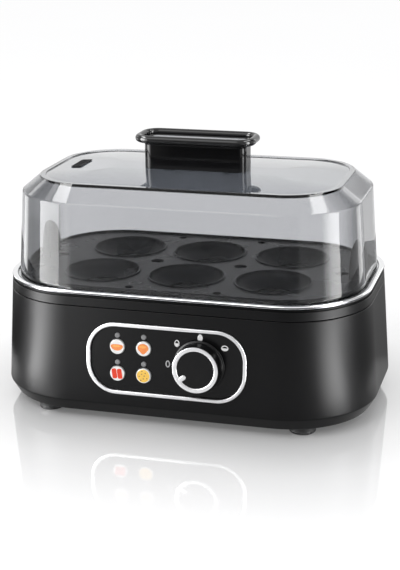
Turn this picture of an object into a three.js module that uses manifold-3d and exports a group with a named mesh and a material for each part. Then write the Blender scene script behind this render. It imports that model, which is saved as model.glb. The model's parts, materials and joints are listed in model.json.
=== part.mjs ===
// Six-egg countertop cooker in millimetres, +Z up, with its front towards -Y.
// The origin lies on the worktop under the middle of the whole cooker, knob and gland included.

import * as THREE from 'three';
import { mergeVertices } from 'three/addons/utils/BufferGeometryUtils.js';
import Module from 'manifold-3d';

const wasm = await Module();
wasm.setup();

// Fits shared by all pieces
const SEAT_GAP = 0.3; // between pieces that rest on or in each other
const RUN_GAP = 0.4; // round a piece that moves
const OVERRUN = 2; // how far a cutter reaches past what it cuts
const LEAST_CORNER = 0.5; // smallest radius of a rounded outline

// How finely round forms are cut, in steps
const CORNER_STEPS = 6;
const SMALL_CORNER_STEPS = 3;
const SLOT_STEPS = 2;
const ROUND_STEPS = 14;
const FINE_ROUND_STEPS = 22;
const SMALL_ROUND_STEPS = 8;
const HEATER_STEPS = 20;
const LEAD_STEPS = 14;
const ARCH_STEPS = 8;
const CROWN_STEPS = 3;

// Housing
const BODY_WIDTH = 230;
const BODY_DEPTH = 148.2;
const BODY_CORNER = 53.5;
const DRAFT_SHARE = 0.069; // how far the moulded walls lean in per unit of height
const HOUSING_WALL = 2.5;
const CHAMFER_HEIGHT = 7.2;
const CHAMFER_INSET = 4.2;
const CHAMFER_ROUND = 1.1;
const HOUSING_RISE = 57.5;

// Collar on top of the housing
const COLLAR_HEIGHT = 6.4;
const COLLAR_FLANGE_WIDTH = 8;
const COLLAR_FLANGE_THICKNESS = 2.6;
const COLLAR_LIP_DEPTH = 4.2;
const COLLAR_LIP_THICKNESS = 1.8;
const GASKET_WIDTH = 2.4;
const GASKET_HEIGHT = 1.2;
const GASKET_SETBACK = 4;

// Steel pan with its rolled edge
const PAN_SHEET = 0.8;
const BEAD_WIDTH = 3.2;
const BEAD_HEIGHT = 2.5;
const BEAD_SETBACK = 0.3;
const LEDGE_WIDTH = 5.4;
const PAN_DEPTH = 19;
const PAN_FLARE = 1.2;
const PAN_BOTTOM_RADIUS = 6;

// Feet
const FOOT_HEIGHT = 4.8;
const FOOT_RADIUS = 8;
const FOOT_EDGE = 1;
const FOOT_SETBACK_X = 37.5; // from the body's side to a foot's middle
const FOOT_SETBACK_Y = 17.1;
const FOOT_STEM_RADIUS = 2.6;
const FOOT_STEM_LENGTH = 3.4;

// Bottom cover, its screws and the housing's bosses
const BASE_THICKNESS = 2.5;
const BASE_SCREW_SETBACK = 12.5;
const BASE_SCREW_Y = 14;
const SCREW_HEAD_RADIUS = 3;
const SCREW_HEAD_HEIGHT = 1.6;
const SCREW_SHANK_RADIUS = 1.5;
const SCREW_LENGTH = 13;
const BOSS_RADIUS = 4.5;
const BOSS_HEIGHT = 22;
const BOSS_RIB_THICKNESS = 2.4;
const VENT_SLOT_LENGTH = 26;
const VENT_SLOT_WIDTH = 3;
const VENT_SLOT_PITCH = 8;
const VENT_SLOT_COUNT = 7;
const POST_RADIUS = 3.5;
const POST_X = 58;
const POST_Y = 27;
const POST_PIN_RADIUS = 1.6;
const POST_PIN_LENGTH = 3.4;

// Heater under the pan
const SPREADER_WIDTH = 132;
const SPREADER_DEPTH = 62;
const SPREADER_CORNER = 22;
const SPREADER_THICKNESS = 3;
const HEATER_RADIUS = 3.2;
const HEATER_RUN_X = 34;
const HEATER_ROW_Y = 18;
const HEATER_END_X = -58;
const HEATER_PIN_RADIUS = 1.6;
const HEATER_PIN_LENGTH = 9;
const THERMOSTAT_RADIUS = 8;
const THERMOSTAT_HEIGHT = 7;
const THERMOSTAT_FLANGE_RADIUS = 10.5;
const THERMOSTAT_FLANGE_THICKNESS = 1.2;
const FUSE_RADIUS = 2.2;
const FUSE_LENGTH = 16;
const FUSE_X = -30;
const SHIELD_WIDTH = 150;
const SHIELD_DEPTH = 80;
const SHIELD_CORNER = 24;
const SHIELD_SHEET = 0.8;
const SHIELD_WALL_HEIGHT = 8;
const SHIELD_FLANGE = 3;
const SHIELD_AIR_GAP = 5;

// Egg tray
const TRAY_PLATE = 1.8;
const TRAY_RIM_HEIGHT = 1.2;
const TRAY_RIM_WIDTH = 1.8;
const COLUMN_GAP_SHARE = 0.087; // of the tray's free width, between two columns of pockets
const ROW_GAP_SHARE = 0.18; // of its free depth, between the two rows
const POCKET_COLUMNS = 3;
const POCKET_ROWS = 2;
const POCKET_RADIUS = 22;
const POCKET_HOLE_RADIUS = 13;
const POCKET_DEPTH = 8;
const POCKET_WALL = 1.6;
const POCKET_LIP = 0.9;
const STEAM_HOLE_RADIUS = 4;
const EDGE_HOLE_RADIUS = 2.6;
const EDGE_HOLE_SETBACK = 8;
const EAR_HEIGHT = 21.4;
const EAR_WIDTH = 21;
const EAR_DEPTH = 7;
const EAR_WALL = 2;
const EAR_SETBACK = 5.2;
const EAR_ARCH_SHARE = 2.4; // exponent of the arch: 2 is an ellipse, more is squarer
const WING_WIDTH = 58;
const WING_HEIGHT = 5;

// Lid
const LID_SETBACK = 8.4; // from the body's outline to the lid's
const LID_CORNER = 47.7;
const LID_WALL = 2;
const LID_RISE = 51.1;
const SHOULDER_HEIGHT = 9.2;
const SHOULDER_INSET = 11.2;
const SHOULDER_ROUND = 1.2;
const TOP_BORDER_WIDTH = 3;
const TOP_BORDER_RISE = 0.6;
const TOP_CROWN = 2.1; // rise of the lid's top from its border to its middle
const VENT_SETBACK = 32.2; // from the lid's left side
const VENT_WIDTH = 5.2;
const VENT_LENGTH = 19.2;
const VENT_CORNER = 1.2;
const VENT_FLANGE = 0.9;
const VENT_FLANGE_THICKNESS = 0.8;
const VENT_BAR_SLOT = 1.6;
const VENT_BAR_COUNT = 4;

// Handle
const HANDLE_WIDTH = 63;
const HANDLE_DEPTH = 19;
const HANDLE_CORNER = 5;
const HANDLE_HEIGHT = 20.6;
const HANDLE_BEAD_RADIUS = 2.3;
const HANDLE_BEAD_REACH = 5.6;
const HANDLE_BEAD_TURN = 1.25; // how far the rim rolls round, in half turns
const HANDLE_NECK = 1.2;
const HANDLE_DISH_DEPTH = 4.4;
const HANDLE_DISH_SLOPE = 1.2;
const INLAY_THICKNESS = 0.8;
const INLAY_INSET = 2.2;
const HANDLE_SCREW_X = 18;
const HANDLE_SCREW_LENGTH = 11;

// Control panel, measured on the leaning front wall from its own middle
const PANEL_SHARE = 0.7837; // of the front's flat width
const PANEL_HEIGHT = 43.4;
const PANEL_CORNER = 18;
const PANEL_RISE = 28.3; // from the break line up to the panel's middle, along Z
const BEZEL_WIDTH = 2.4;
const BEZEL_PROUD = 1;
const BEZEL_ROUND = 0.5;
const BEZEL_RECESS = 0.8;
const BEZEL_SLEEVE = 0.7;
const FASCIA_SINK = 0.9;
const FASCIA_PLATE = 2;
const FASCIA_FLANGE = 2;
const FASCIA_FLANGE_THICKNESS = 1.5;
const FASCIA_WALL = 2;

// Knob
const KNOB_SHARE = 0.2085; // of the panel's width, from its middle
const KNOB_Y = -0.3;
const KNOB_RADIUS = 14.15;
const KNOB_HEIGHT = 9.4;
const KNOB_SKIRT_RADIUS = 15.2;
const KNOB_SKIRT_HEIGHT = 1.6;
const KNOB_DRAFT = 0.5;
const KNOB_RING_WIDTH = 2.7;
const KNOB_RING_THICKNESS = 1.6;
const KNOB_RING_ROUND = 0.5;
const KNOB_FACE_SINK = 0.5;
const POINTER_LENGTH = 3.5;
const POINTER_WIDTH = 2.8;
const POINTER_THICKNESS = 0.7;
const POINTER_REACH = 10.65;
const POINTER_ANGLE = THREE.MathUtils.degToRad(216);
const SHAFT_RADIUS = 3;
const SHAFT_GRIP = 6;

// Buttons and lamps
const BUTTON_RADIUS = 4.35;
const BUTTON_PITCH_SHARE = 0.166; // of the panel's width
const BUTTON_PITCH_Y = 16.2;
const BUTTONS_SHARE = 0.223; // of the panel's width, from its middle
const BUTTONS_Y = -1.1;
const BUTTON_PROUD = 1.1;
const BUTTON_EDGE = 0.4;
const BUTTON_FLANGE = 0.6;
const BUTTON_FLANGE_THICKNESS = 1;
const BUTTON_STEM_RADIUS = 1.5;
const BUTTON_TRAVEL = 0.8;
const LED_RADIUS = 1.5;
const LED_RISE = 6.75;
const LED_PROUD = 0.5;
const LED_BODY = 4;

// Control board
const BOARD_EDGE = 4; // from a post's middle to the board's end
const BOARD_HEIGHT = 34;
const BOARD_CORNER = 3;
const BOARD_THICKNESS = 1.6;
const BOARD_STANDOFF = 8; // from the fascia plate's back to the board's front
const BOARD_POST_CLEARANCE = 8.5; // from the outer buttons' middle
const BOARD_POST_Y = 13.4;
const BOARD_POST_RADIUS = 2.6;
const BOARD_SCREW_RADIUS = 1.2;
const BOARD_SCREW_HEAD_RADIUS = 2.3;
const BOARD_SCREW_HEAD_HEIGHT = 1.4;
const BOARD_SCREW_LENGTH = 5;
const SWITCH_SIDE = 6;
const SWITCH_HEIGHT = 3.4;
const SWITCH_WELL_DEPTH = 2.4;
const STEM_ENGAGEMENT = 0.7;
const ROTARY_RADIUS = 8.6;
const ROTARY_HEIGHT = 5.4;
const BUZZER_RADIUS = 4.5;
const BUZZER_HEIGHT = 6;
const BUZZER_X = -2;
const BUZZER_Y = -1.1;

// Gland in the rear wall
const GLAND_SETBACK = 10; // from the rear wall's flat end
const GLAND_RISE = 11; // above the break line
const GLAND_RADIUS = 6;
const GLAND_FLANGE_RADIUS = 8.4;
const GLAND_FLANGE_THICKNESS = 1.8;
const GLAND_BORE_RADIUS = 3.6;
const GLAND_REACH_IN = 7;
const GLAND_REACH_OUT = 3;

// Mains terminals and the leads up to the heater
const TERMINAL_WIDTH = 26;
const TERMINAL_DEPTH = 12;
const TERMINAL_HEIGHT = 9;
const TERMINAL_SETBACK = 24; // from the body's rear
const TERMINAL_WELL_RADIUS = 2;
const TERMINAL_WELL_DEPTH = 5;
const TERMINAL_WELL_X = 7;
const LEAD_RADIUS = 1.1;
const LEAD_PITCH = 6;
const LEAD_SHARE = 0.2; // of the way from the heat shield to the wall, from lead to lead
const LEAD_CLEARANCE = 1.4; // over the heat shield's rim
const LEAD_BEND = 7;

// Heights that follow from the sizes
const BREAK_Z = FOOT_HEIGHT + CHAMFER_HEIGHT;
const SEAM_Z = BREAK_Z + HOUSING_RISE;
const COLLAR_TOP_Z = SEAM_Z + COLLAR_HEIGHT;
const LEDGE_TOP_Z = COLLAR_TOP_Z + SEAT_GAP + PAN_SHEET;
const BEAD_TOP_Z = COLLAR_TOP_Z + SEAT_GAP + BEAD_HEIGHT;
const PAN_UNDERSIDE_Z = LEDGE_TOP_Z - PAN_DEPTH - PAN_SHEET;
const SPREADER_UNDERSIDE_Z = PAN_UNDERSIDE_Z - SEAT_GAP - SPREADER_THICKNESS;
const HEATER_Z = SPREADER_UNDERSIDE_Z - SEAT_GAP - HEATER_RADIUS;
const SHIELD_FLOOR_Z = HEATER_Z - HEATER_RADIUS - SHIELD_AIR_GAP;
const BASE_TOP_Z = FOOT_HEIGHT + BASE_THICKNESS;
const TRAY_UNDERSIDE_Z = LEDGE_TOP_Z + SEAT_GAP;
const TRAY_TOP_Z = TRAY_UNDERSIDE_Z + TRAY_PLATE;
const LID_BOTTOM_Z = LEDGE_TOP_Z + SEAT_GAP;
const SHOULDER_Z = LID_BOTTOM_Z + LID_RISE;
const LID_TOP_Z = SHOULDER_Z + SHOULDER_HEIGHT;

// Places that follow from the outlines
const FOOT_X = BODY_WIDTH / 2 - FOOT_SETBACK_X;
const FOOT_Y = BODY_DEPTH / 2 - FOOT_SETBACK_Y;
const BASE_SCREW_X = BODY_WIDTH / 2 - BASE_SCREW_SETBACK;
const LID_WIDTH = BODY_WIDTH - 2 * LID_SETBACK;
const LID_DEPTH = BODY_DEPTH - 2 * LID_SETBACK;
const VENT_X = VENT_SETBACK - LID_WIDTH / 2;
const FLAT_WIDTH = BODY_WIDTH - 2 * BODY_CORNER;
const PANEL_WIDTH = PANEL_SHARE * FLAT_WIDTH;
const KNOB_X = KNOB_SHARE * PANEL_WIDTH;
const BUTTONS_X = -BUTTONS_SHARE * PANEL_WIDTH;
const BUTTON_PITCH_X = BUTTON_PITCH_SHARE * PANEL_WIDTH;
const BOARD_POST_X = BUTTON_PITCH_X / 2 - BUTTONS_X + BOARD_POST_CLEARANCE;
const BOARD_WIDTH = 2 * (BOARD_POST_X + BOARD_EDGE);
const GLAND_X = GLAND_SETBACK - FLAT_WIDTH / 2;
const TERMINAL_Y = BODY_DEPTH / 2 - TERMINAL_SETBACK;

// Insets, measured in from the body's outline at the break line
const BEAD_INSET = DRAFT_SHARE * (COLLAR_TOP_Z - BREAK_Z) + BEAD_SETBACK;
const LEDGE_INSET = BEAD_INSET + BEAD_WIDTH;
const PAN_WALL_INSET = LEDGE_INSET + LEDGE_WIDTH;

// Heights on the panel, measured out of the front wall
const WALL_BACK = -HOUSING_WALL;
const FASCIA_FRONT = -FASCIA_SINK;
const FASCIA_BACK = FASCIA_FRONT - FASCIA_PLATE;
const BOARD_FRONT = FASCIA_BACK - BOARD_STANDOFF;
const BOARD_BACK = BOARD_FRONT - BOARD_THICKNESS;
const SWITCH_FRONT = BOARD_FRONT + SEAT_GAP + SWITCH_HEIGHT;
const ROTARY_FRONT = BOARD_FRONT + SEAT_GAP + ROTARY_HEIGHT;
const KNOB_BACK = FASCIA_FRONT + RUN_GAP;
const KNOB_FRONT = KNOB_BACK + KNOB_HEIGHT;

// Outlines, each the half sizes and corner radius of a rounded rectangle
const outline = (width, depth, corner) => ({ halfX: width / 2, halfY: depth / 2, corner });
const shrunk = (plan, inset) => outline(
  2 * (plan.halfX - inset), 2 * (plan.halfY - inset), plan.corner - inset);
const BODY_PLAN = outline(BODY_WIDTH, BODY_DEPTH, BODY_CORNER);
const LID_PLAN = outline(LID_WIDTH, LID_DEPTH, LID_CORNER);
const TRAY_PLAN = shrunk(LID_PLAN, LID_WALL + RUN_GAP);
const HANDLE_PLAN = outline(HANDLE_WIDTH, HANDLE_DEPTH, HANDLE_CORNER);

// The lid's top is crowned front to back, from its border up to a level seat under the handle
const TOP_INSET = DRAFT_SHARE * LID_RISE + SHOULDER_INSET;
const CROWN_INSET = TOP_INSET + TOP_BORDER_WIDTH + TOP_BORDER_RISE;
const CROWN_REACH = LID_PLAN.halfY - CROWN_INSET;
const SEAT_INSET = LID_PLAN.halfY - HANDLE_PLAN.halfY;
const crownZ = (inset) => (
  LID_TOP_Z - TOP_BORDER_RISE + TOP_CROWN * (1 - ((LID_PLAN.halfY - inset) / CROWN_REACH) ** 2));
const HANDLE_SEAT_Z = crownZ(SEAT_INSET);
const HANDLE_BOTTOM_Z = HANDLE_SEAT_Z + SEAT_GAP;
const PANEL_PLAN = outline(PANEL_WIDTH, PANEL_HEIGHT, PANEL_CORNER);

// The pockets share out what the tray leaves free round them
const POCKET_SPAN = 2 * (POCKET_RADIUS + POCKET_WALL);
const POCKET_PITCH_X = POCKET_SPAN + COLUMN_GAP_SHARE * (2 * TRAY_PLAN.halfX - POCKET_COLUMNS * POCKET_SPAN);
const POCKET_PITCH_Y = POCKET_SPAN + ROW_GAP_SHARE * (2 * TRAY_PLAN.halfY - POCKET_ROWS * POCKET_SPAN);

// Finishes as colour, roughness, metalness and, where the piece is clear, opacity
const FINISHES = {
  satinBlack: [0x222224, 0.42, 0],
  glossBlack: [0x0d0d0e, 0.12, 0],
  trayBlack: [0x1a1c1f, 0.3, 0],
  clearSmoke: [0xb9bec6, 0.05, 0, 0.3],
  chrome: [0xc8cacd, 0.12, 1],
  steel: [0xb4b7ba, 0.3, 1],
  aluminium: [0xc2c4c6, 0.45, 1],
  rubber: [0x18181a, 0.75, 0],
  silicone: [0x9a9ea3, 0.6, 0],
  boardGreen: [0x1f5a3a, 0.5, 0],
  plasticWhite: [0xe9e7e2, 0.4, 0],
  lampGrey: [0x8c9094, 0.3, 0],
  ceramic: [0xd8d2c4, 0.7, 0],
};

function finish(name) {
  const [color, roughness, metalness, opacity = 1] = FINISHES[name];
  const transparent = opacity < 1;
  return new THREE.MeshStandardMaterial({ color, roughness, metalness, opacity, transparent });
}

function piece(name, geometry, finishName) {
  const mesh = new THREE.Mesh(geometry, finish(finishName));
  mesh.name = name;
  return mesh;
}

// Joins and cuts on closed meshes
function solid(geometry) {
  const bare = geometry.clone();
  bare.deleteAttribute('normal');
  bare.deleteAttribute('uv');
  const merged = mergeVertices(bare);
  const vertProperties = merged.attributes.position.array;
  const triVerts = Uint32Array.from(merged.index.array);
  return new wasm.Manifold(new wasm.Mesh({ numProp: 3, vertProperties, triVerts }));
}

function geometryOf(shape) {
  const { vertProperties, triVerts } = shape.getMesh();
  const geometry = new THREE.BufferGeometry();
  geometry.setAttribute('position', new THREE.BufferAttribute(vertProperties, 3));
  geometry.setIndex(Array.from(triVerts));
  return geometry;
}

const joined = (shape, tools) => tools.reduce((sum, tool) => sum.add(solid(tool)), shape);
const cutBy = (shape, tools) => tools.reduce((rest, tool) => rest.subtract(solid(tool)), shape);

// One ring of points: a rounded rectangle, anticlockwise from the +X side
function ringPoints(plan, inset, z, cornerSteps) {
  const radius = Math.max(plan.corner - inset, LEAST_CORNER);
  const centreX = plan.halfX - inset - radius;
  const centreY = plan.halfY - inset - radius;
  const signs = [[1, 1], [-1, 1], [-1, -1], [1, -1]];
  return signs.flatMap(([signX, signY], quarter) => {
    const corner = [];
    for (let step = 0; step <= cornerSteps; step++) {
      const angle = (quarter + step / cornerSteps) * Math.PI / 2;
      const x = signX * centreX + radius * Math.cos(angle);
      const y = signY * centreY + radius * Math.sin(angle);
      corner.push(x, y, z);
    }
    return corner;
  });
}

// A profile of [inset, height] points carried round an outline. An open profile runs from the
// underside, up the outside, to the upper face, and both its ends are capped flat.
function carried(plan, profile, { ring = false, cornerSteps = CORNER_STEPS } = {}) {
  const count = 4 * (cornerSteps + 1);
  const points = profile.flatMap(([inset, z]) => ringPoints(plan, inset, z, cornerSteps));
  const faces = [];
  const bands = ring ? profile.length : profile.length - 1;
  for (let band = 0; band < bands; band++) {
    const low = band * count;
    const high = ((band + 1) % profile.length) * count;
    for (let k = 0; k < count; k++) {
      const next = (k + 1) % count;
      faces.push(low + k, low + next, high + next, low + k, high + next, high + k);
    }
  }
  if (!ring) addCaps(points, faces, profile, count);
  const geometry = new THREE.BufferGeometry();
  geometry.setAttribute('position', new THREE.Float32BufferAttribute(points, 3));
  geometry.setIndex(faces);
  return geometry;
}

function addCaps(points, faces, profile, count) {
  const under = points.length / 3;
  const over = under + 1;
  const lastRing = (profile.length - 1) * count;
  points.push(0, 0, profile[0][1], 0, 0, profile[profile.length - 1][1]);
  for (let k = 0; k < count; k++) {
    const next = (k + 1) % count;
    faces.push(under, next, k, over, lastRing + k, lastRing + next);
  }
}

// A plain slab of an outline between two heights
function slab(plan, low, high, cornerSteps = SMALL_CORNER_STEPS) {
  return carried(plan, [[0, low], [0, high]], { cornerSteps });
}

// A turned solid about Z from [radius, height] points, run from the lower end up the outside
function turned(points, steps = ROUND_STEPS) {
  const profile = points.map(([radius, height]) => new THREE.Vector2(radius, height));
  return new THREE.LatheGeometry(profile, steps).rotateX(Math.PI / 2);
}

function rod(radius, low, high, steps = SMALL_ROUND_STEPS) {
  return turned([[0, low], [radius, low], [radius, high], [0, high]], steps);
}

function block(sizeX, sizeY, low, high) {
  return new THREE.BoxGeometry(sizeX, sizeY, high - low).translate(0, 0, (low + high) / 2);
}

// The four places that mirror one place in both axes
const mirrored = (x, y) => [[-x, -y], [x, -y], [-x, y], [x, y]];

// The leaning front wall's own frame: X across, Y up the wall, Z out of it
const LEAN = Math.atan(DRAFT_SHARE);
const PANEL_Z = BREAK_Z + PANEL_RISE;
const PANEL_Y = -(BODY_PLAN.halfY - DRAFT_SHARE * PANEL_RISE);
const panelFrame = new THREE.Matrix4()
  .makeRotationX(Math.PI / 2 - LEAN)
  .setPosition(0, PANEL_Y, PANEL_Z);

// Drafted inset of the body's outer wall at a height
const draftInset = (z) => DRAFT_SHARE * (z - BREAK_Z);

function bodyShell() {
  const wall = HOUSING_WALL;
  const topInset = draftInset(SEAM_Z);
  const roundShare = CHAMFER_ROUND / CHAMFER_HEIGHT;
  const profile = [
    [CHAMFER_INSET, FOOT_HEIGHT],
    [CHAMFER_INSET * roundShare * 2, BREAK_Z - CHAMFER_ROUND * 2],
    [CHAMFER_INSET * roundShare / 2, BREAK_Z - CHAMFER_ROUND / 2],
    [draftInset(BREAK_Z + CHAMFER_ROUND), BREAK_Z + CHAMFER_ROUND],
    [topInset, SEAM_Z],
    [topInset + wall, SEAM_Z],
    [wall, BREAK_Z],
    [CHAMFER_INSET + wall, FOOT_HEIGHT],
  ];
  const shell = solid(carried(BODY_PLAN, profile, { ring: true }));
  const bossed = joined(shell, housingBosses());
  return geometryOf(cutBy(bossed, [...bossPilots(), ...panelWindow(), glandHole()]));
}

// Screw bosses stand beside the end walls, each tied to the wall by a rib
function housingBosses() {
  const low = BASE_TOP_Z + SEAT_GAP;
  const high = low + BOSS_HEIGHT;
  const wallInside = BODY_PLAN.halfX - HOUSING_WALL - draftInset(low);
  const ribLength = wallInside - BASE_SCREW_X;
  return mirrored(BASE_SCREW_X, BASE_SCREW_Y).flatMap(([x, y]) => {
    const boss = rod(BOSS_RADIUS, low, high).translate(x, y, 0);
    const ribX = Math.sign(x) * (BASE_SCREW_X + ribLength / 2);
    const rib = block(ribLength, BOSS_RIB_THICKNESS, low, high).translate(ribX, y, 0);
    return [boss, rib];
  });
}

function bossPilots() {
  const low = BASE_TOP_Z - OVERRUN;
  const high = FOOT_HEIGHT + SCREW_LENGTH + OVERRUN;
  const radius = SCREW_SHANK_RADIUS + SEAT_GAP;
  return mirrored(BASE_SCREW_X, BASE_SCREW_Y)
    .map(([x, y]) => rod(radius, low, high).translate(x, y, 0));
}

// The window in the front wall, with a shallow recess that the bezel lies in
function panelWindow() {
  const recess = slab(shrunk(PANEL_PLAN, -SEAT_GAP), -BEZEL_RECESS, OVERRUN, CORNER_STEPS);
  const windowPlan = shrunk(PANEL_PLAN, BEZEL_WIDTH - BEZEL_SLEEVE - SEAT_GAP);
  const window = slab(windowPlan, WALL_BACK - OVERRUN, OVERRUN, CORNER_STEPS);
  return [recess.applyMatrix4(panelFrame), window.applyMatrix4(panelFrame)];
}

const GLAND_Z = BREAK_Z + GLAND_RISE;
const GLAND_WALL_Y = BODY_PLAN.halfY - draftInset(GLAND_Z);

function glandHole() {
  const radius = GLAND_RADIUS + SEAT_GAP;
  const hole = rod(radius, WALL_BACK - OVERRUN, OVERRUN, ROUND_STEPS);
  return hole.applyMatrix4(glandFrame());
}

// Z of this frame points out of the leaning rear wall
function glandFrame() {
  return new THREE.Matrix4()
    .makeRotationX(LEAN - Math.PI / 2)
    .setPosition(GLAND_X, GLAND_WALL_Y, GLAND_Z);
}

function cordGland() {
  const flangeBack = SEAT_GAP;
  const flangeFront = flangeBack + GLAND_FLANGE_THICKNESS;
  const nose = flangeFront + GLAND_REACH_OUT;
  const noseRadius = (GLAND_RADIUS + GLAND_BORE_RADIUS) / 2;
  const bush = turned([
    [GLAND_BORE_RADIUS, -GLAND_REACH_IN],
    [GLAND_RADIUS, -GLAND_REACH_IN],
    [GLAND_RADIUS, flangeBack],
    [GLAND_FLANGE_RADIUS, flangeBack],
    [GLAND_FLANGE_RADIUS, flangeFront],
    [noseRadius, nose],
    [GLAND_BORE_RADIUS, nose],
    [GLAND_BORE_RADIUS, -GLAND_REACH_IN],
  ]);
  return bush.applyMatrix4(glandFrame());
}

// The collar's lip drops inside the housing's wall, and a groove in its top holds the gasket
function collarRing() {
  const low = SEAM_Z + SEAT_GAP;
  const lipOut = draftInset(SEAM_Z) + HOUSING_WALL + SEAT_GAP;
  const lipIn = lipOut + COLLAR_LIP_THICKNESS;
  const flangeIn = draftInset(COLLAR_TOP_Z) + COLLAR_FLANGE_WIDTH;
  const flangeLow = COLLAR_TOP_Z - COLLAR_FLANGE_THICKNESS;
  const grooveOut = gasketInset() - SEAT_GAP;
  const grooveIn = gasketInset() + GASKET_WIDTH + SEAT_GAP;
  const grooveLow = COLLAR_TOP_Z - GASKET_HEIGHT - SEAT_GAP;
  return carried(BODY_PLAN, [
    [draftInset(low), low],
    [draftInset(COLLAR_TOP_Z), COLLAR_TOP_Z],
    [grooveOut, COLLAR_TOP_Z],
    [grooveOut, grooveLow],
    [grooveIn, grooveLow],
    [grooveIn, COLLAR_TOP_Z],
    [flangeIn, COLLAR_TOP_Z],
    [flangeIn, flangeLow],
    [lipIn, flangeLow],
    [lipIn, SEAM_Z - COLLAR_LIP_DEPTH],
    [lipOut, SEAM_Z - COLLAR_LIP_DEPTH],
    [lipOut, low],
  ], { ring: true });
}

const gasketInset = () => draftInset(COLLAR_TOP_Z) + GASKET_SETBACK;

function panGasket() {
  const low = COLLAR_TOP_Z - GASKET_HEIGHT;
  const out = gasketInset();
  const inner = out + GASKET_WIDTH;
  return carried(BODY_PLAN,
    [[out, low], [out, COLLAR_TOP_Z], [inner, COLLAR_TOP_Z], [inner, low]], { ring: true });
}

// The pan's section: floor, rounded bottom edge, wall, ledge and the rolled bead at its rim
function waterPan() {
  const ledgeLow = LEDGE_TOP_Z - PAN_SHEET;
  const outerWall = PAN_WALL_INSET;
  const innerWall = PAN_WALL_INSET + PAN_SHEET;
  const outerRadius = PAN_BOTTOM_RADIUS + PAN_SHEET;
  const floorZ = PAN_UNDERSIDE_Z + PAN_SHEET;
  return carried(BODY_PLAN, [
    ...bottomArc(outerWall + PAN_FLARE, PAN_UNDERSIDE_Z, outerRadius),
    [outerWall, ledgeLow],
    ...panBead(ledgeLow),
    [innerWall, LEDGE_TOP_Z],
    ...bottomArc(innerWall + PAN_FLARE, floorZ, PAN_BOTTOM_RADIUS).reverse(),
  ]);
}

// Quarter arc from a flat floor up into a wall
function bottomArc(wallInset, floorZ, radius) {
  const steps = 2;
  const points = [];
  for (let step = 0; step <= steps; step++) {
    const angle = (step / steps) * Math.PI / 2;
    const inset = wallInset + radius * (1 - Math.sin(angle));
    points.push([inset, floorZ + radius * (1 - Math.cos(angle))]);
  }
  return points;
}

// The bead is round over its top and straight-sided below
function panBead(ledgeLow) {
  const radius = BEAD_WIDTH / 2;
  const centreInset = BEAD_INSET + radius;
  const centreZ = BEAD_TOP_Z - radius;
  const arc = [];
  const steps = 6;
  for (let step = 0; step <= steps; step++) {
    const angle = (step / steps) * Math.PI;
    arc.push([centreInset - radius * Math.cos(angle), centreZ + radius * Math.sin(angle)]);
  }
  return [[BEAD_INSET, ledgeLow], ...arc, [LEDGE_INSET, LEDGE_TOP_Z]];
}

function foot() {
  const top = FOOT_HEIGHT - SEAT_GAP;
  return turned([
    [0, 0],
    [FOOT_RADIUS - FOOT_EDGE, 0],
    [FOOT_RADIUS, FOOT_EDGE],
    [FOOT_RADIUS - FOOT_EDGE / 2, top],
    [FOOT_STEM_RADIUS, top],
    [FOOT_STEM_RADIUS, top + FOOT_STEM_LENGTH],
    [0, top + FOOT_STEM_LENGTH],
  ]);
}

const basePlan = () => shrunk(BODY_PLAN, CHAMFER_INSET + HOUSING_WALL + SEAT_GAP);

// Bottom cover with vent slots, screw seats, foot holes and the posts under the heat shield
function basePlate() {
  const plate = joined(solid(slab(basePlan(), FOOT_HEIGHT, BASE_TOP_Z, CORNER_STEPS)), shieldPosts());
  return geometryOf(cutBy(plate, [...ventSlots(), ...screwSeats(), ...footHoles()]));
}

function shieldPosts() {
  const top = SHIELD_FLOOR_Z - SEAT_GAP;
  return mirrored(POST_X, POST_Y).map(([x, y]) => turned([
    [0, BASE_TOP_Z - BASE_THICKNESS / 2],
    [POST_RADIUS, BASE_TOP_Z - BASE_THICKNESS / 2],
    [POST_RADIUS, top],
    [POST_PIN_RADIUS, top],
    [POST_PIN_RADIUS, top + POST_PIN_LENGTH],
    [0, top + POST_PIN_LENGTH],
  ], SMALL_ROUND_STEPS).translate(x, y, 0));
}

function ventSlots() {
  const slotPlan = outline(VENT_SLOT_WIDTH, VENT_SLOT_LENGTH, VENT_SLOT_WIDTH / 2);
  const slots = [];
  for (let k = 0; k < VENT_SLOT_COUNT; k++) {
    const x = (k - (VENT_SLOT_COUNT - 1) / 2) * VENT_SLOT_PITCH;
    const slot = slab(slotPlan, FOOT_HEIGHT - OVERRUN, BASE_TOP_Z + OVERRUN, SLOT_STEPS);
    slots.push(slot.translate(x, 0, 0));
  }
  return slots;
}

// A countersunk seat and a clear hole for each screw
function screwSeats() {
  const head = SCREW_HEAD_RADIUS + SEAT_GAP;
  const shank = SCREW_SHANK_RADIUS + SEAT_GAP;
  return mirrored(BASE_SCREW_X, BASE_SCREW_Y).map(([x, y]) => turned([
    [0, FOOT_HEIGHT - OVERRUN],
    [head, FOOT_HEIGHT - OVERRUN],
    [head, FOOT_HEIGHT],
    [shank, FOOT_HEIGHT + SCREW_HEAD_HEIGHT],
    [shank, BASE_TOP_Z + OVERRUN],
    [0, BASE_TOP_Z + OVERRUN],
  ], SMALL_ROUND_STEPS).translate(x, y, 0));
}

function footHoles() {
  const radius = FOOT_STEM_RADIUS + SEAT_GAP;
  return mirrored(FOOT_X, FOOT_Y)
    .map(([x, y]) => rod(radius, FOOT_HEIGHT - OVERRUN, BASE_TOP_Z + OVERRUN).translate(x, y, 0));
}

function baseScrew() {
  return turned([
    [0, FOOT_HEIGHT],
    [SCREW_HEAD_RADIUS, FOOT_HEIGHT],
    [SCREW_SHANK_RADIUS, FOOT_HEIGHT + SCREW_HEAD_HEIGHT],
    [SCREW_SHANK_RADIUS, FOOT_HEIGHT + SCREW_LENGTH],
    [0, FOOT_HEIGHT + SCREW_LENGTH],
  ], SMALL_ROUND_STEPS);
}

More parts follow.
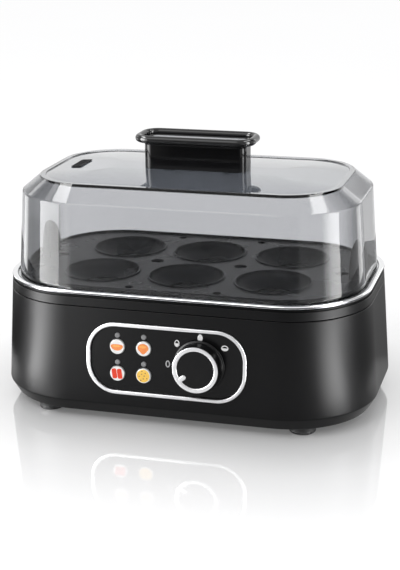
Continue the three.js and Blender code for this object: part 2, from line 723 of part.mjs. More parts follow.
function heatSpreader() {
  const plan = outline(SPREADER_WIDTH, SPREADER_DEPTH, SPREADER_CORNER);
  const top = PAN_UNDERSIDE_Z - SEAT_GAP;
  return slab(plan, top - SPREADER_THICKNESS, top, CORNER_STEPS);
}

// The heater runs out along one row, round a half circle and back along the other
function heatingElement() {
  const bendSteps = 8;
  const points = [[HEATER_END_X, -HEATER_ROW_Y], [(HEATER_END_X + HEATER_RUN_X) / 2, -HEATER_ROW_Y]];
  for (let step = 0; step <= bendSteps; step++) {
    const angle = (step / bendSteps - 1 / 2) * Math.PI;
    points.push([HEATER_RUN_X + HEATER_ROW_Y * Math.cos(angle), HEATER_ROW_Y * Math.sin(angle)]);
  }
  points.push([(HEATER_END_X + HEATER_RUN_X) / 2, HEATER_ROW_Y], [HEATER_END_X, HEATER_ROW_Y]);
  const bar = tube(points.map(([x, y]) => [x, y, HEATER_Z]), HEATER_RADIUS, HEATER_STEPS);
  return geometryOf(joined(solid(bar), heaterPins()));
}

// A round bar along a smooth curve through the points
function tube(points, radius, steps) {
  const extrudePath = new THREE.CatmullRomCurve3(points.map((point) => new THREE.Vector3(...point)));
  const section = new THREE.Shape().absarc(0, 0, radius, 0, 2 * Math.PI);
  return new THREE.ExtrudeGeometry(section, { steps, extrudePath, curveSegments: SMALL_ROUND_STEPS / 2 });
}

function heaterPins() {
  return [-HEATER_ROW_Y, HEATER_ROW_Y].map((y) => {
    const pin = rod(HEATER_PIN_RADIUS, -HEATER_RADIUS, HEATER_PIN_LENGTH);
    return pin.rotateY(-Math.PI / 2).translate(HEATER_END_X, y, HEATER_Z);
  });
}

// Terminal block on the base plate, with a well over each clamping screw
function terminalBlock() {
  const low = BASE_TOP_Z + SEAT_GAP;
  const high = low + TERMINAL_HEIGHT;
  const wells = [-TERMINAL_WELL_X, 0, TERMINAL_WELL_X]
    .map((x) => rod(TERMINAL_WELL_RADIUS, high - TERMINAL_WELL_DEPTH, high + OVERRUN).translate(x, 0, 0));
  const body = solid(block(TERMINAL_WIDTH, TERMINAL_DEPTH, low, high));
  return geometryOf(cutBy(body, wells)).translate(GLAND_X, TERMINAL_Y, 0);
}

// A lead runs out past the heat shield, rises over its rim and comes in to a heater pin. Lane 1 lies
// nearer the shield than lane 2.
function heaterLead(pinY, lane) {
  const startX = GLAND_X - TERMINAL_WIDTH / 2 - SEAT_GAP;
  const startY = TERMINAL_Y + (lane - 1) * LEAD_PITCH - LEAD_PITCH / 2;
  const startZ = BASE_TOP_Z + SEAT_GAP + TERMINAL_HEIGHT / 2;
  const pinX = HEATER_END_X - HEATER_PIN_LENGTH - SEAT_GAP;
  const rimX = -SHIELD_WIDTH / 2;
  const wallX = HOUSING_WALL - BODY_WIDTH / 2;
  const outX = rimX + lane * LEAD_SHARE * (wallX - rimX);
  const rimZ = SHIELD_FLOOR_Z + SHIELD_WALL_HEIGHT + LEAD_CLEARANCE + LEAD_RADIUS;
  return tube([
    [startX, startY, startZ],
    [startX - LEAD_BEND, startY, startZ],
    [outX, startY - LEAD_BEND, startZ + LEAD_BEND / 2],
    [outX, (startY + pinY) / 2, (startZ + rimZ) / 2],
    [outX, pinY + LEAD_BEND / 2, rimZ - LEAD_BEND],
    [(outX + rimX) / 2, pinY, rimZ],
    [rimX + SHIELD_FLANGE / 2, pinY, rimZ],
    [pinX, pinY, HEATER_Z],
  ], LEAD_RADIUS, LEAD_STEPS);
}

function thermostat() {
  const top = SPREADER_UNDERSIDE_Z - SEAT_GAP;
  const low = top - THERMOSTAT_HEIGHT;
  const flangeLow = top - THERMOSTAT_FLANGE_THICKNESS;
  return turned([
    [0, low],
    [THERMOSTAT_RADIUS, low],
    [THERMOSTAT_RADIUS, flangeLow],
    [THERMOSTAT_FLANGE_RADIUS, flangeLow],
    [THERMOSTAT_FLANGE_RADIUS, top],
    [0, top],
  ]);
}

function thermalFuse() {
  const fuse = rod(FUSE_RADIUS, -FUSE_LENGTH / 2, FUSE_LENGTH / 2);
  const z = SPREADER_UNDERSIDE_Z - SEAT_GAP - FUSE_RADIUS;
  return fuse.rotateY(Math.PI / 2).translate(FUSE_X, 0, z);
}

// Sheet-metal tray under the heater, seated on the base's posts
function heatShield() {
  const plan = outline(SHIELD_WIDTH, SHIELD_DEPTH, SHIELD_CORNER);
  const low = SHIELD_FLOOR_Z;
  const floor = low + SHIELD_SHEET;
  const brim = low + SHIELD_WALL_HEIGHT;
  const tray = carried(plan, [
    [SHIELD_FLANGE, low],
    [SHIELD_FLANGE, brim - SHIELD_SHEET],
    [0, brim - SHIELD_SHEET],
    [0, brim],
    [SHIELD_FLANGE + SHIELD_SHEET, brim],
    [SHIELD_FLANGE + SHIELD_SHEET, floor],
  ], { cornerSteps: SMALL_CORNER_STEPS });
  const holes = mirrored(POST_X, POST_Y).map(([x, y]) => (
    rod(POST_PIN_RADIUS + SEAT_GAP, low - OVERRUN, floor + OVERRUN).translate(x, y, 0)));
  return geometryOf(cutBy(solid(tray), holes));
}

// Tray plate with dished pockets, steam holes, end wings and lifting ears
function eggTray() {
  const plate = carried(TRAY_PLAN, [
    [0, TRAY_UNDERSIDE_Z],
    [0, TRAY_TOP_Z + TRAY_RIM_HEIGHT],
    [TRAY_RIM_WIDTH, TRAY_TOP_Z + TRAY_RIM_HEIGHT],
    [TRAY_RIM_WIDTH, TRAY_TOP_Z],
  ]);
  const pierced = cutBy(solid(plate), [...pocketCutters(), ...steamHoles()]);
  const dished = joined(pierced, pocketPlaces().map(([x, y]) => pocketDish().translate(x, y, 0)));
  const winged = dished.add(trayWings());
  return geometryOf(joined(winged, [ear(1), ear(-1)]));
}

function pocketPlaces() {
  const places = [];
  for (let column = 0; column < POCKET_COLUMNS; column++) {
    for (let row = 0; row < POCKET_ROWS; row++) {
      const x = (column - (POCKET_COLUMNS - 1) / 2) * POCKET_PITCH_X;
      const y = (row - (POCKET_ROWS - 1) / 2) * POCKET_PITCH_Y;
      places.push([x, y]);
    }
  }
  return places;
}

function pocketCutters() {
  const radius = POCKET_RADIUS + POCKET_WALL / 2;
  return pocketPlaces().map(([x, y]) => (
    rod(radius, TRAY_UNDERSIDE_Z - OVERRUN, TRAY_TOP_Z + OVERRUN, ROUND_STEPS).translate(x, y, 0)));
}

// One pocket: its wall curves in from the lip to the open hole at the bottom
function pocketDish() {
  const lipTop = TRAY_TOP_Z + POCKET_LIP;
  const steps = 2;
  const inside = [];
  for (let step = 0; step <= steps; step++) {
    const share = step / steps;
    const radius = POCKET_RADIUS - (POCKET_RADIUS - POCKET_HOLE_RADIUS) * share ** 2;
    inside.push([radius, TRAY_TOP_Z - POCKET_DEPTH * share]);
  }
  const outside = inside.slice(1).reverse().map(([radius, z]) => [radius + POCKET_WALL, z]);
  const holeEdge = inside[steps];
  return turned([
    holeEdge,
    ...outside,
    [POCKET_RADIUS + POCKET_WALL, lipTop],
    [POCKET_RADIUS, lipTop],
    ...inside,
  ]);
}

// Holes where four pockets meet, and smaller ones along the edges between them
function steamHoles() {
  const edgeY = TRAY_PLAN.halfY - EDGE_HOLE_SETBACK;
  const endX = TRAY_PLAN.halfX - EDGE_HOLE_SETBACK - EAR_DEPTH;
  const betweenX = POCKET_PITCH_X / 2;
  const hole = (radius, x, y) => (
    rod(radius, TRAY_UNDERSIDE_Z - OVERRUN, TRAY_TOP_Z + OVERRUN).translate(x, y, 0));
  return [
    ...[-betweenX, betweenX].map((x) => hole(STEAM_HOLE_RADIUS, x, 0)),
    ...[-endX, endX].map((x) => hole(STEAM_HOLE_RADIUS, x, 0)),
    ...mirrored(betweenX, edgeY).map(([x, y]) => hole(EDGE_HOLE_RADIUS, x, y)),
  ];
}

// The tray's rim rises in a low arch at each end
function trayWings() {
  const wall = carried(TRAY_PLAN, [
    [0, TRAY_TOP_Z - TRAY_PLATE / 2],
    [draftAbove(WING_HEIGHT), TRAY_TOP_Z + WING_HEIGHT],
    [draftAbove(WING_HEIGHT) + TRAY_RIM_WIDTH, TRAY_TOP_Z + WING_HEIGHT],
    [TRAY_RIM_WIDTH, TRAY_TOP_Z - TRAY_PLATE / 2],
  ], { ring: true });
  const arch = new THREE.Shape().absellipse(0, 0, WING_WIDTH / 2, WING_HEIGHT, 0, 2 * Math.PI);
  const length = 2 * (TRAY_PLAN.halfX + OVERRUN);
  const options = { depth: length, bevelEnabled: false, curveSegments: ARCH_STEPS };
  const prism = new THREE.ExtrudeGeometry(arch, options);
  prism.rotateX(Math.PI / 2).rotateZ(Math.PI / 2).translate(-length / 2, 0, TRAY_TOP_Z);
  return solid(wall).intersect(solid(prism));
}

const draftAbove = (rise) => DRAFT_SHARE * rise;

// A lifting ear: a C-shaped section, open towards the eggs, that shrinks up to a round arch
function ear(side) {
  const arcSteps = 6;
  const heightShares = [0, 0.25, 0.5, 0.68, 0.8, 0.89, 0.95, 0.985, 1];
  const leastShare = EAR_WALL / EAR_WIDTH;
  const points = heightShares.flatMap((height) => {
    const arch = Math.max((1 - height ** EAR_ARCH_SHARE) ** (1 / EAR_ARCH_SHARE), leastShare);
    const z = TRAY_TOP_Z - TRAY_PLATE / 2 + (EAR_HEIGHT + TRAY_PLATE / 2) * height;
    return earSection(arch, z, side, arcSteps);
  });
  return lofted(points, 2 * (arcSteps + 1), side);
}

// One level of the ear: out along the outer arc and back along the inner one
function earSection(arch, z, side, arcSteps) {
  const centreX = TRAY_PLAN.halfX - EAR_SETBACK;
  const wall = Math.min(EAR_WALL, EAR_DEPTH * arch / 2);
  const section = [];
  const addPoint = (depth, halfWidth, share) => {
    const angle = (share - 1 / 2) * Math.PI;
    const x = centreX + depth * Math.cos(angle) - EAR_DEPTH * arch / 2;
    section.push(side * x, halfWidth * Math.sin(angle), z);
  };
  for (let step = 0; step <= arcSteps; step++) {
    addPoint(EAR_DEPTH * arch, EAR_WIDTH * arch / 2, step / arcSteps);
  }
  for (let step = arcSteps; step >= 0; step--) {
    addPoint(EAR_DEPTH * arch - wall, EAR_WIDTH * arch / 2 - wall / 2, step / arcSteps);
  }
  return section;
}

// Skin over equal sections stacked upwards, with the end sections triangulated as strips
function lofted(points, count, side) {
  const levels = points.length / 3 / count;
  const faces = [];
  const addFace = (a, b, c) => (side > 0 ? faces.push(a, b, c) : faces.push(a, c, b));
  for (let level = 0; level < levels - 1; level++) {
    const low = level * count;
    for (let k = 0; k < count; k++) {
      const next = (k + 1) % count;
      addFace(low + k, low + next, low + count + next);
      addFace(low + k, low + count + next, low + count + k);
    }
  }
  const top = (levels - 1) * count;
  for (let k = 0; k < count / 2 - 1; k++) {
    const across = count - 1 - k;
    addFace(k, across, k + 1);
    addFace(k + 1, across, across - 1);
    addFace(top + k, top + k + 1, top + across);
    addFace(top + k + 1, top + across - 1, top + across);
  }
  const geometry = new THREE.BufferGeometry();
  geometry.setAttribute('position', new THREE.Float32BufferAttribute(points, 3));
  geometry.setIndex(faces);
  return geometry;
}

// Clear lid: drafted wall, rounded break, sloped shoulder and a crowned top inside a raised border
function lidShell() {
  const wall = LID_WALL;
  const breakInset = DRAFT_SHARE * LID_RISE;
  const topInset = TOP_INSET;
  const slope = SHOULDER_INSET / SHOULDER_HEIGHT;
  const round = SHOULDER_ROUND;
  const crown = [];
  for (let step = 0; step <= CROWN_STEPS; step++) {
    const inset = CROWN_INSET + (SEAT_INSET - CROWN_INSET) * step / CROWN_STEPS;
    crown.push([inset, crownZ(inset)]);
  }
  const ceiling = crown.map(([inset, z]) => [inset, z - wall]).reverse();
  const shell = solid(carried(LID_PLAN, [
    ...ceiling,
    [topInset + wall / 2, LID_TOP_Z - TOP_BORDER_RISE - wall],
    [breakInset + wall, SHOULDER_Z - wall / 2],
    [wall, LID_BOTTOM_Z],
    [0, LID_BOTTOM_Z],
    [breakInset - DRAFT_SHARE * round, SHOULDER_Z - round],
    [breakInset + round * slope / 2, SHOULDER_Z + round / 2],
    [topInset - round * slope / 2, LID_TOP_Z - round / 2],
    [topInset + round / 2, LID_TOP_Z],
    [topInset + TOP_BORDER_WIDTH, LID_TOP_Z],
    ...crown,
  ]));
  return geometryOf(cutBy(shell, [ventOpening(), ...handleScrewHoles()]));
}

const ventPlan = () => outline(VENT_WIDTH, VENT_LENGTH, VENT_CORNER);

// Leans a piece made about the origin to the crown and sets it in its place at the lid's left
function onCrown(geometry) {
  const inset = VENT_SETBACK;
  const lean = Math.atan(2 * TOP_CROWN * (LID_PLAN.halfY - inset) / CROWN_REACH ** 2);
  return geometry.rotateY(-lean).translate(VENT_X, 0, crownZ(inset));
}

function ventOpening() {
  return onCrown(slab(shrunk(ventPlan(), -SEAT_GAP), -LID_WALL - OVERRUN, OVERRUN));
}

// Slotted insert whose brim rests on the lid's top
function steamVent() {
  const body = carried(ventPlan(), [
    [0, -LID_WALL],
    [0, SEAT_GAP],
    [-VENT_FLANGE, SEAT_GAP],
    [-VENT_FLANGE, SEAT_GAP + VENT_FLANGE_THICKNESS],
  ], { cornerSteps: SMALL_CORNER_STEPS });
  const pitch = VENT_LENGTH / (VENT_BAR_COUNT + 1);
  const slots = [];
  for (let k = 0; k < VENT_BAR_COUNT; k++) {
    const y = (k - (VENT_BAR_COUNT - 1) / 2) * pitch;
    const slot = block(VENT_WIDTH - VENT_BAR_SLOT, VENT_BAR_SLOT, -LID_WALL - OVERRUN, OVERRUN);
    slots.push(slot.translate(0, y, 0));
  }
  return onCrown(geometryOf(cutBy(solid(body), slots)));
}

function handleScrewHoles() {
  const radius = SCREW_SHANK_RADIUS + SEAT_GAP;
  const low = HANDLE_SEAT_Z - LID_WALL - OVERRUN;
  return [-HANDLE_SCREW_X, HANDLE_SCREW_X]
    .map((x) => rod(radius, low, HANDLE_SEAT_Z + OVERRUN).translate(x, 0, 0));
}

// Handle: a straight column whose rim rolls outwards in a bead round a shallow dish
function lidHandle() {
  const low = HANDLE_BOTTOM_Z;
  const bead = HANDLE_BEAD_RADIUS;
  const beadCentre = bead - HANDLE_BEAD_REACH;
  const beadZ = low + HANDLE_HEIGHT - bead;
  const neckZ = beadZ - bead;
  const arc = [];
  const steps = 8;
  for (let step = 0; step <= steps; step++) {
    const angle = (step / steps * HANDLE_BEAD_TURN - 1 / 2) * Math.PI;
    arc.push([beadCentre - bead * Math.cos(angle), beadZ + bead * Math.sin(angle)]);
  }
  const dishZ = low + HANDLE_HEIGHT - HANDLE_DISH_DEPTH;
  const handle = solid(carried(HANDLE_PLAN, [
    [0, low],
    [0, neckZ - HANDLE_NECK],
    [-HANDLE_NECK, neckZ],
    ...arc,
    [0, dishZ + HANDLE_DISH_SLOPE / 2],
    [HANDLE_DISH_SLOPE, dishZ],
  ], { cornerSteps: SMALL_CORNER_STEPS }));
  return geometryOf(cutBy(handle, handlePilots(low)));
}

function handlePilots(low) {
  const radius = SCREW_SHANK_RADIUS + SEAT_GAP;
  const high = low + HANDLE_SCREW_LENGTH;
  return [-HANDLE_SCREW_X, HANDLE_SCREW_X]
    .map((x) => rod(radius, low - OVERRUN, high).translate(x, 0, 0));
}

function handleInlay() {
  const floor = HANDLE_BOTTOM_Z + HANDLE_HEIGHT - HANDLE_DISH_DEPTH + SEAT_GAP;
  return slab(shrunk(HANDLE_PLAN, INLAY_INSET), floor, floor + INLAY_THICKNESS);
}

// Screw from inside the lid up into the handle
function handleScrew() {
  const headTop = HANDLE_SEAT_Z - LID_WALL - SEAT_GAP;
  const tip = headTop + HANDLE_SCREW_LENGTH;
  return turned([
    [0, headTop - SCREW_HEAD_HEIGHT],
    [SCREW_HEAD_RADIUS, headTop - SCREW_HEAD_HEIGHT],
    [SCREW_HEAD_RADIUS, headTop],
    [SCREW_SHANK_RADIUS, headTop],
    [SCREW_SHANK_RADIUS, tip],
    [0, tip],
  ], SMALL_ROUND_STEPS);
}

// Panel pieces, in the front wall's own frame
function panelBezel() {
  const seat = SEAT_GAP - BEZEL_RECESS;
  const sleeveOut = BEZEL_WIDTH - BEZEL_SLEEVE;
  return carried(PANEL_PLAN, [
    [0, seat],
    [0, BEZEL_PROUD - BEZEL_ROUND],
    [BEZEL_ROUND, BEZEL_PROUD],
    [BEZEL_WIDTH - BEZEL_ROUND, BEZEL_PROUD],
    [BEZEL_WIDTH, BEZEL_PROUD - BEZEL_ROUND],
    [BEZEL_WIDTH, WALL_BACK],
    [sleeveOut, WALL_BACK],
    [sleeveOut, seat],
  ], { ring: true });
}

// The fascia's plate shows through the bezel and its flange bears on the back of the wall
function panelFascia() {
  const flangeFront = WALL_BACK - SEAT_GAP;
  const flangeBack = flangeFront - FASCIA_FLANGE_THICKNESS;
  const side = BEZEL_WIDTH + SEAT_GAP;
  const shell = solid(carried(PANEL_PLAN, [
    [side + FASCIA_WALL, FASCIA_BACK],
    [side + FASCIA_WALL, flangeBack],
    [-FASCIA_FLANGE, flangeBack],
    [-FASCIA_FLANGE, flangeFront],
    [side, flangeFront],
    [side, FASCIA_FRONT],
  ]));
  return geometryOf(cutBy(joined(shell, boardPosts()), fasciaHoles()));
}

function boardPosts() {
  return mirrored(BOARD_POST_X, BOARD_POST_Y).map(([x, y]) => (
    rod(BOARD_POST_RADIUS, BOARD_FRONT + SEAT_GAP, FASCIA_BACK + FASCIA_PLATE / 2).translate(x, y, 0)));
}

function fasciaHoles() {
  const low = FASCIA_BACK - OVERRUN;
  const high = FASCIA_FRONT + OVERRUN;
  const hole = (radius, [x, y], steps = ROUND_STEPS) => rod(radius, low, high, steps).translate(x, y, 0);
  const pilotTop = FASCIA_BACK;
  const pilot = ([x, y]) => (
    rod(BOARD_SCREW_RADIUS + SEAT_GAP, BOARD_FRONT - OVERRUN, pilotTop).translate(x, y, 0));
  return [
    ...buttonPlaces().map((place) => hole(BUTTON_RADIUS + RUN_GAP, place)),
    ...lampPlaces().map((place) => hole(LED_RADIUS + SEAT_GAP, place, SMALL_ROUND_STEPS)),
    hole(SHAFT_RADIUS + RUN_GAP, [KNOB_X, KNOB_Y]),
    ...mirrored(BOARD_POST_X, BOARD_POST_Y).map(pilot),
  ];
}

// Buttons in reading order: upper left, upper right, lower left, lower right
function buttonPlaces() {
  const left = BUTTONS_X - BUTTON_PITCH_X / 2;
  const right = BUTTONS_X + BUTTON_PITCH_X / 2;
  const upper = BUTTONS_Y + BUTTON_PITCH_Y / 2;
  const lower = BUTTONS_Y - BUTTON_PITCH_Y / 2;
  return [[left, upper], [right, upper], [left, lower], [right, lower]];
}

const lampPlaces = () => buttonPlaces().map(([x, y]) => [x, y + LED_RISE]);

// Button cap with a flange behind the fascia and a stem that works the switch
function button() {
  const front = FASCIA_FRONT + BUTTON_PROUD;
  const flangeFront = FASCIA_BACK - SEAT_GAP;
  const flangeBack = flangeFront - BUTTON_FLANGE_THICKNESS;
  const stemEnd = SWITCH_FRONT - STEM_ENGAGEMENT;
  return turned([
    [0, stemEnd],
    [BUTTON_STEM_RADIUS, stemEnd],
    [BUTTON_STEM_RADIUS, flangeBack],
    [BUTTON_RADIUS + BUTTON_FLANGE, flangeBack],
    [BUTTON_RADIUS + BUTTON_FLANGE, flangeFront],
    [BUTTON_RADIUS, flangeFront],
    [BUTTON_RADIUS, front - BUTTON_EDGE],
    [BUTTON_RADIUS - BUTTON_EDGE, front],
    [0, front],
  ]);
}

function lamp() {
  const front = FASCIA_FRONT + LED_PROUD;
  const back = front - LED_BODY;
  const leadRadius = LED_RADIUS / 2;
  return turned([
    [0, BOARD_FRONT + SEAT_GAP],
    [leadRadius, BOARD_FRONT + SEAT_GAP],
    [leadRadius, back],
    [LED_RADIUS, back],
    [LED_RADIUS, front - LED_RADIUS / 3],
    [LED_RADIUS * 2 / 3, front],
    [0, front],
  ], SMALL_ROUND_STEPS);
}

function switchBody() {
  const low = BOARD_FRONT + SEAT_GAP;
  const well = rod(BUTTON_STEM_RADIUS + RUN_GAP, SWITCH_FRONT - SWITCH_WELL_DEPTH, SWITCH_FRONT + OVERRUN);
  return geometryOf(cutBy(solid(block(SWITCH_SIDE, SWITCH_SIDE, low, SWITCH_FRONT)), [well]));
}

function controlBoard() {
  const board = slab(outline(BOARD_WIDTH, BOARD_HEIGHT, BOARD_CORNER), BOARD_BACK, BOARD_FRONT);
  const holes = mirrored(BOARD_POST_X, BOARD_POST_Y).map(([x, y]) => (
    rod(BOARD_SCREW_RADIUS + SEAT_GAP, BOARD_BACK - OVERRUN, BOARD_FRONT + OVERRUN).translate(x, y, 0)));
  return geometryOf(cutBy(solid(board), holes));
}

function boardScrew() {
  const seat = BOARD_BACK - SEAT_GAP;
  return turned([
    [0, seat - BOARD_SCREW_HEAD_HEIGHT],
    [BOARD_SCREW_HEAD_RADIUS, seat - BOARD_SCREW_HEAD_HEIGHT],
    [BOARD_SCREW_HEAD_RADIUS, seat],
    [BOARD_SCREW_RADIUS, seat],
    [BOARD_SCREW_RADIUS, seat + BOARD_SCREW_LENGTH],
    [0, seat + BOARD_SCREW_LENGTH],
  ], SMALL_ROUND_STEPS);
}

// The rotary switch's bore is the bearing of the knob's shaft
function rotarySwitch() {
  const bore = SHAFT_RADIUS + RUN_GAP;
  const low = BOARD_FRONT + SEAT_GAP;
  return turned([
    [bore, low],
    [ROTARY_RADIUS, low],
    [ROTARY_RADIUS, ROTARY_FRONT],
    [bore, ROTARY_FRONT],
    [bore, low],
  ]).translate(KNOB_X, KNOB_Y, 0);
}

function buzzer() {
  const front = BOARD_BACK - SEAT_GAP;
  return rod(BUZZER_RADIUS, front - BUZZER_HEIGHT, front, ROUND_STEPS).translate(BUZZER_X, BUZZER_Y, 0);
}

// Knob pieces, turned about the shaft's axis
function knobShaft() {
  const low = BOARD_FRONT + 2 * SEAT_GAP;
  return rod(SHAFT_RADIUS, low, KNOB_BACK + SHAFT_GRIP, ROUND_STEPS);
}

function knobBody() {
  const bore = SHAFT_RADIUS + SEAT_GAP;
  const rimRadius = KNOB_RADIUS - KNOB_DRAFT;
  const ringBack = KNOB_FRONT - KNOB_RING_THICKNESS - SEAT_GAP;
  const faceRadius = KNOB_RADIUS - KNOB_RING_WIDTH - SEAT_GAP;
  const face = KNOB_FRONT - KNOB_FACE_SINK;
  return turned([
    [0, KNOB_BACK + SHAFT_GRIP + SEAT_GAP],
    [bore, KNOB_BACK + SHAFT_GRIP + SEAT_GAP],
    [bore, KNOB_BACK],
    [KNOB_SKIRT_RADIUS, KNOB_BACK],
    [KNOB_SKIRT_RADIUS, KNOB_BACK + KNOB_SKIRT_HEIGHT],
    [KNOB_RADIUS, KNOB_BACK + KNOB_SKIRT_HEIGHT + KNOB_DRAFT],
    [rimRadius, ringBack],
    [faceRadius, ringBack],
    [faceRadius, face],
    [0, face],
  ], FINE_ROUND_STEPS);
}

function knobRing() {
  const back = KNOB_FRONT - KNOB_RING_THICKNESS;
  const inner = KNOB_RADIUS - KNOB_RING_WIDTH;
  return turned([
    [inner, back],
    [KNOB_RADIUS, back],
    [KNOB_RADIUS, KNOB_FRONT - KNOB_RING_ROUND],
    [KNOB_RADIUS - KNOB_RING_ROUND, KNOB_FRONT],
    [inner + KNOB_RING_ROUND, KNOB_FRONT],
    [inner, KNOB_FRONT - KNOB_RING_ROUND],
    [inner, back],
  ], FINE_ROUND_STEPS);
}

function knobPointer() {
  const low = KNOB_FRONT - KNOB_FACE_SINK + SEAT_GAP;
  const plan = outline(POINTER_LENGTH, POINTER_WIDTH, POINTER_WIDTH / 2);
  const bar = slab(plan, low, low + POINTER_THICKNESS);
  return bar.translate(POINTER_REACH - POINTER_LENGTH / 2, 0, 0).rotateZ(POINTER_ANGLE);
}

// The pieces grouped as they are put together
function baseGroup() {
  const group = new THREE.Group();
  group.add(
    piece('body_shell', bodyShell(), 'satinBlack'),
    piece('collar_ring', collarRing(), 'satinBlack'),
    piece('water_pan', waterPan(), 'chrome'),
    piece('pan_gasket', panGasket(), 'silicone'),
    piece('heat_spreader', heatSpreader(), 'aluminium'),
    piece('heating_element', heatingElement(), 'steel'),
    piece('thermostat', thermostat(), 'ceramic'),
    piece('thermal_fuse', thermalFuse(), 'ceramic'),
    piece('heat_shield', heatShield(), 'steel'),
    piece('base_plate', basePlate(), 'satinBlack'),
    piece('terminal_block', terminalBlock(), 'plasticWhite'),
    piece('lead_live', heaterLead(HEATER_ROW_Y, 1), 'silicone'),
    piece('lead_neutral', heaterLead(-HEATER_ROW_Y, 2), 'silicone'),
    piece('cord_gland', cordGland(), 'rubber'),
  );
  mirrored(BASE_SCREW_X, BASE_SCREW_Y).forEach(([x, y], k) => {
    group.add(placed(piece(`base_screw_${k + 1}`, baseScrew(), 'steel'), x, y));
  });
  mirrored(FOOT_X, FOOT_Y).forEach(([x, y], k) => {
    group.add(placed(piece(`foot_${k + 1}`, foot(), 'rubber'), x, y));
  });
  return group;
}

function placed(mesh, x, y) {
  mesh.position.set(x, y, 0);
  return mesh;
}

function panelGroup() {
  const group = new THREE.Group();
  group.applyMatrix4(panelFrame);
  group.add(
    piece('panel_bezel', panelBezel(), 'chrome'),
    piece('panel_fascia', panelFascia(), 'glossBlack'),
    piece('control_board', controlBoard(), 'boardGreen'),
    piece('rotary_switch', rotarySwitch(), 'steel'),
    piece('buzzer', buzzer(), 'glossBlack'),
    knobGroup(),
  );
  mirrored(BOARD_POST_X, BOARD_POST_Y).forEach(([x, y], k) => {
    group.add(placed(piece(`board_screw_${k + 1}`, boardScrew(), 'steel'), x, y));
  });
  buttonPlaces().forEach(([x, y], k) => {
    group.add(placed(piece(`button_${k + 1}`, button(), 'plasticWhite'), x, y));
    group.add(placed(piece(`switch_${k + 1}`, switchBody(), 'glossBlack'), x, y));
  });
  lampPlaces().forEach(([x, y], k) => {
    group.add(placed(piece(`led_${k + 1}`, lamp(), 'lampGrey'), x, y));
  });
  return group;
}

function knobGroup() {
  const group = new THREE.Group();
  group.position.set(KNOB_X, KNOB_Y, 0);
  group.add(
    piece('knob_shaft', knobShaft(), 'steel'),
    piece('knob_body', knobBody(), 'glossBlack'),
    piece('knob_ring', knobRing(), 'chrome'),
    piece('knob_pointer', knobPointer(), 'chrome'),
  );
  return group;
}

function lidGroup() {
  const group = new THREE.Group();
  group.add(
    piece('lid_shell', lidShell(), 'clearSmoke'),
    piece('steam_vent', steamVent(), 'glossBlack'),
    piece('lid_handle', lidHandle(), 'glossBlack'),
    piece('handle_inlay', handleInlay(), 'chrome'),
  );
  [-HANDLE_SCREW_X, HANDLE_SCREW_X].forEach((x, k) => {
    group.add(placed(piece(`handle_screw_${k + 1}`, handleScrew(), 'steel'), x, 0));
  });
  return group;
}

const cooker = new THREE.Group();
cooker.add(baseGroup(), panelGroup(), piece('egg_tray', eggTray(), 'trayBlack'), lidGroup());

// The knob reaches further forward than the gland does back, so the body moves to centre the whole
const reach = new THREE.Box3().setFromObject(cooker, true);
cooker.position.y = -(reach.min.y + reach.max.y) / 2;

export default cooker;
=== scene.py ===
import json
import math

import bpy
import numpy as np
from mathutils import Matrix, Vector

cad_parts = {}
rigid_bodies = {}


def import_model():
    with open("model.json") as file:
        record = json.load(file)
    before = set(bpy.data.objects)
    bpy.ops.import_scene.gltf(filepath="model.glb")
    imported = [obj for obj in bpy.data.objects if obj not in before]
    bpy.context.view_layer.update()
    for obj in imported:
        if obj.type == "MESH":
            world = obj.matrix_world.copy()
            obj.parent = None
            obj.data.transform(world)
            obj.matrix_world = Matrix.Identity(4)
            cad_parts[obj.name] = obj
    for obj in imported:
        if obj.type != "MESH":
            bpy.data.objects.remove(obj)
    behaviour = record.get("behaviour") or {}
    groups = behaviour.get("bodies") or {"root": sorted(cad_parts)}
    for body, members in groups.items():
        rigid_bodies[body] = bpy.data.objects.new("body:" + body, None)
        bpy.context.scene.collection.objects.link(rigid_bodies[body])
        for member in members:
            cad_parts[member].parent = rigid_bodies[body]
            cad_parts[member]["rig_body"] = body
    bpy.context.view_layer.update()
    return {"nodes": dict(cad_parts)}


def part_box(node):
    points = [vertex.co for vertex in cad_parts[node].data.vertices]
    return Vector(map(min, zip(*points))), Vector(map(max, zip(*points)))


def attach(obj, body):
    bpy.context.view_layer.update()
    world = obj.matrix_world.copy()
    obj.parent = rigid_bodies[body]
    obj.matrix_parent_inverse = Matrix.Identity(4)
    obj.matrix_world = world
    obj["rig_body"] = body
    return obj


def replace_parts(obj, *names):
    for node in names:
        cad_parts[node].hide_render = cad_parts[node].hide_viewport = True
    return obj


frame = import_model()

# Lengths are in millimetres until a mesh is made. The body's middle lies a little behind the frame's.
MM = 0.001
plate_low, plate_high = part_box("base_plate")
BODY_Y = (plate_low.y + plate_high.y) / 2 / MM

# Heights
FOOT_Z = 4.8
BREAK_Z = 12.0
SEAM_Z = 69.5
COLLAR_Z = 75.9
LEDGE_Z = 77.0
TRAY_Z = 79.1
LID_LOW_Z = 77.3
SHOULDER_Z = 128.4
LID_TOP_Z = 137.6
TOP_Z = 137.0
TOP_CROWN = 2.1
CROWN_REACH = 47.4
HANDLE_LOW_Z = 139.3
TRAY_LOW_Z = 77.3

# The walls' draft, the gap that a seated piece keeps, and the thicknesses of the moulded walls
DRAFT = 0.069
SEAT = 0.3
HOUSING_WALL = 2.5
LID_WALL = 2.0

# Outlines: half width, half depth, corner radius
BODY = (115.0, 74.1, 53.5)
LID = (106.6, 65.7, 47.7)
TRAY = (104.2, 63.3, 45.3)
HANDLE = (31.5, 9.5, 5.0)
PANEL = (48.2, 21.7, 18.0)

# The panel on the leaning front wall, and the cord's hole in the rear wall
LEAN = math.atan(DRAFT)
PANEL_RISE = 28.3
GLAND_X = -51.5
GLAND_RISE = 11.0
FASCIA_Z = -0.9
KNOB_X = 20.1
KNOB_Y = -0.3
POINTER_TURN = math.radians(216)


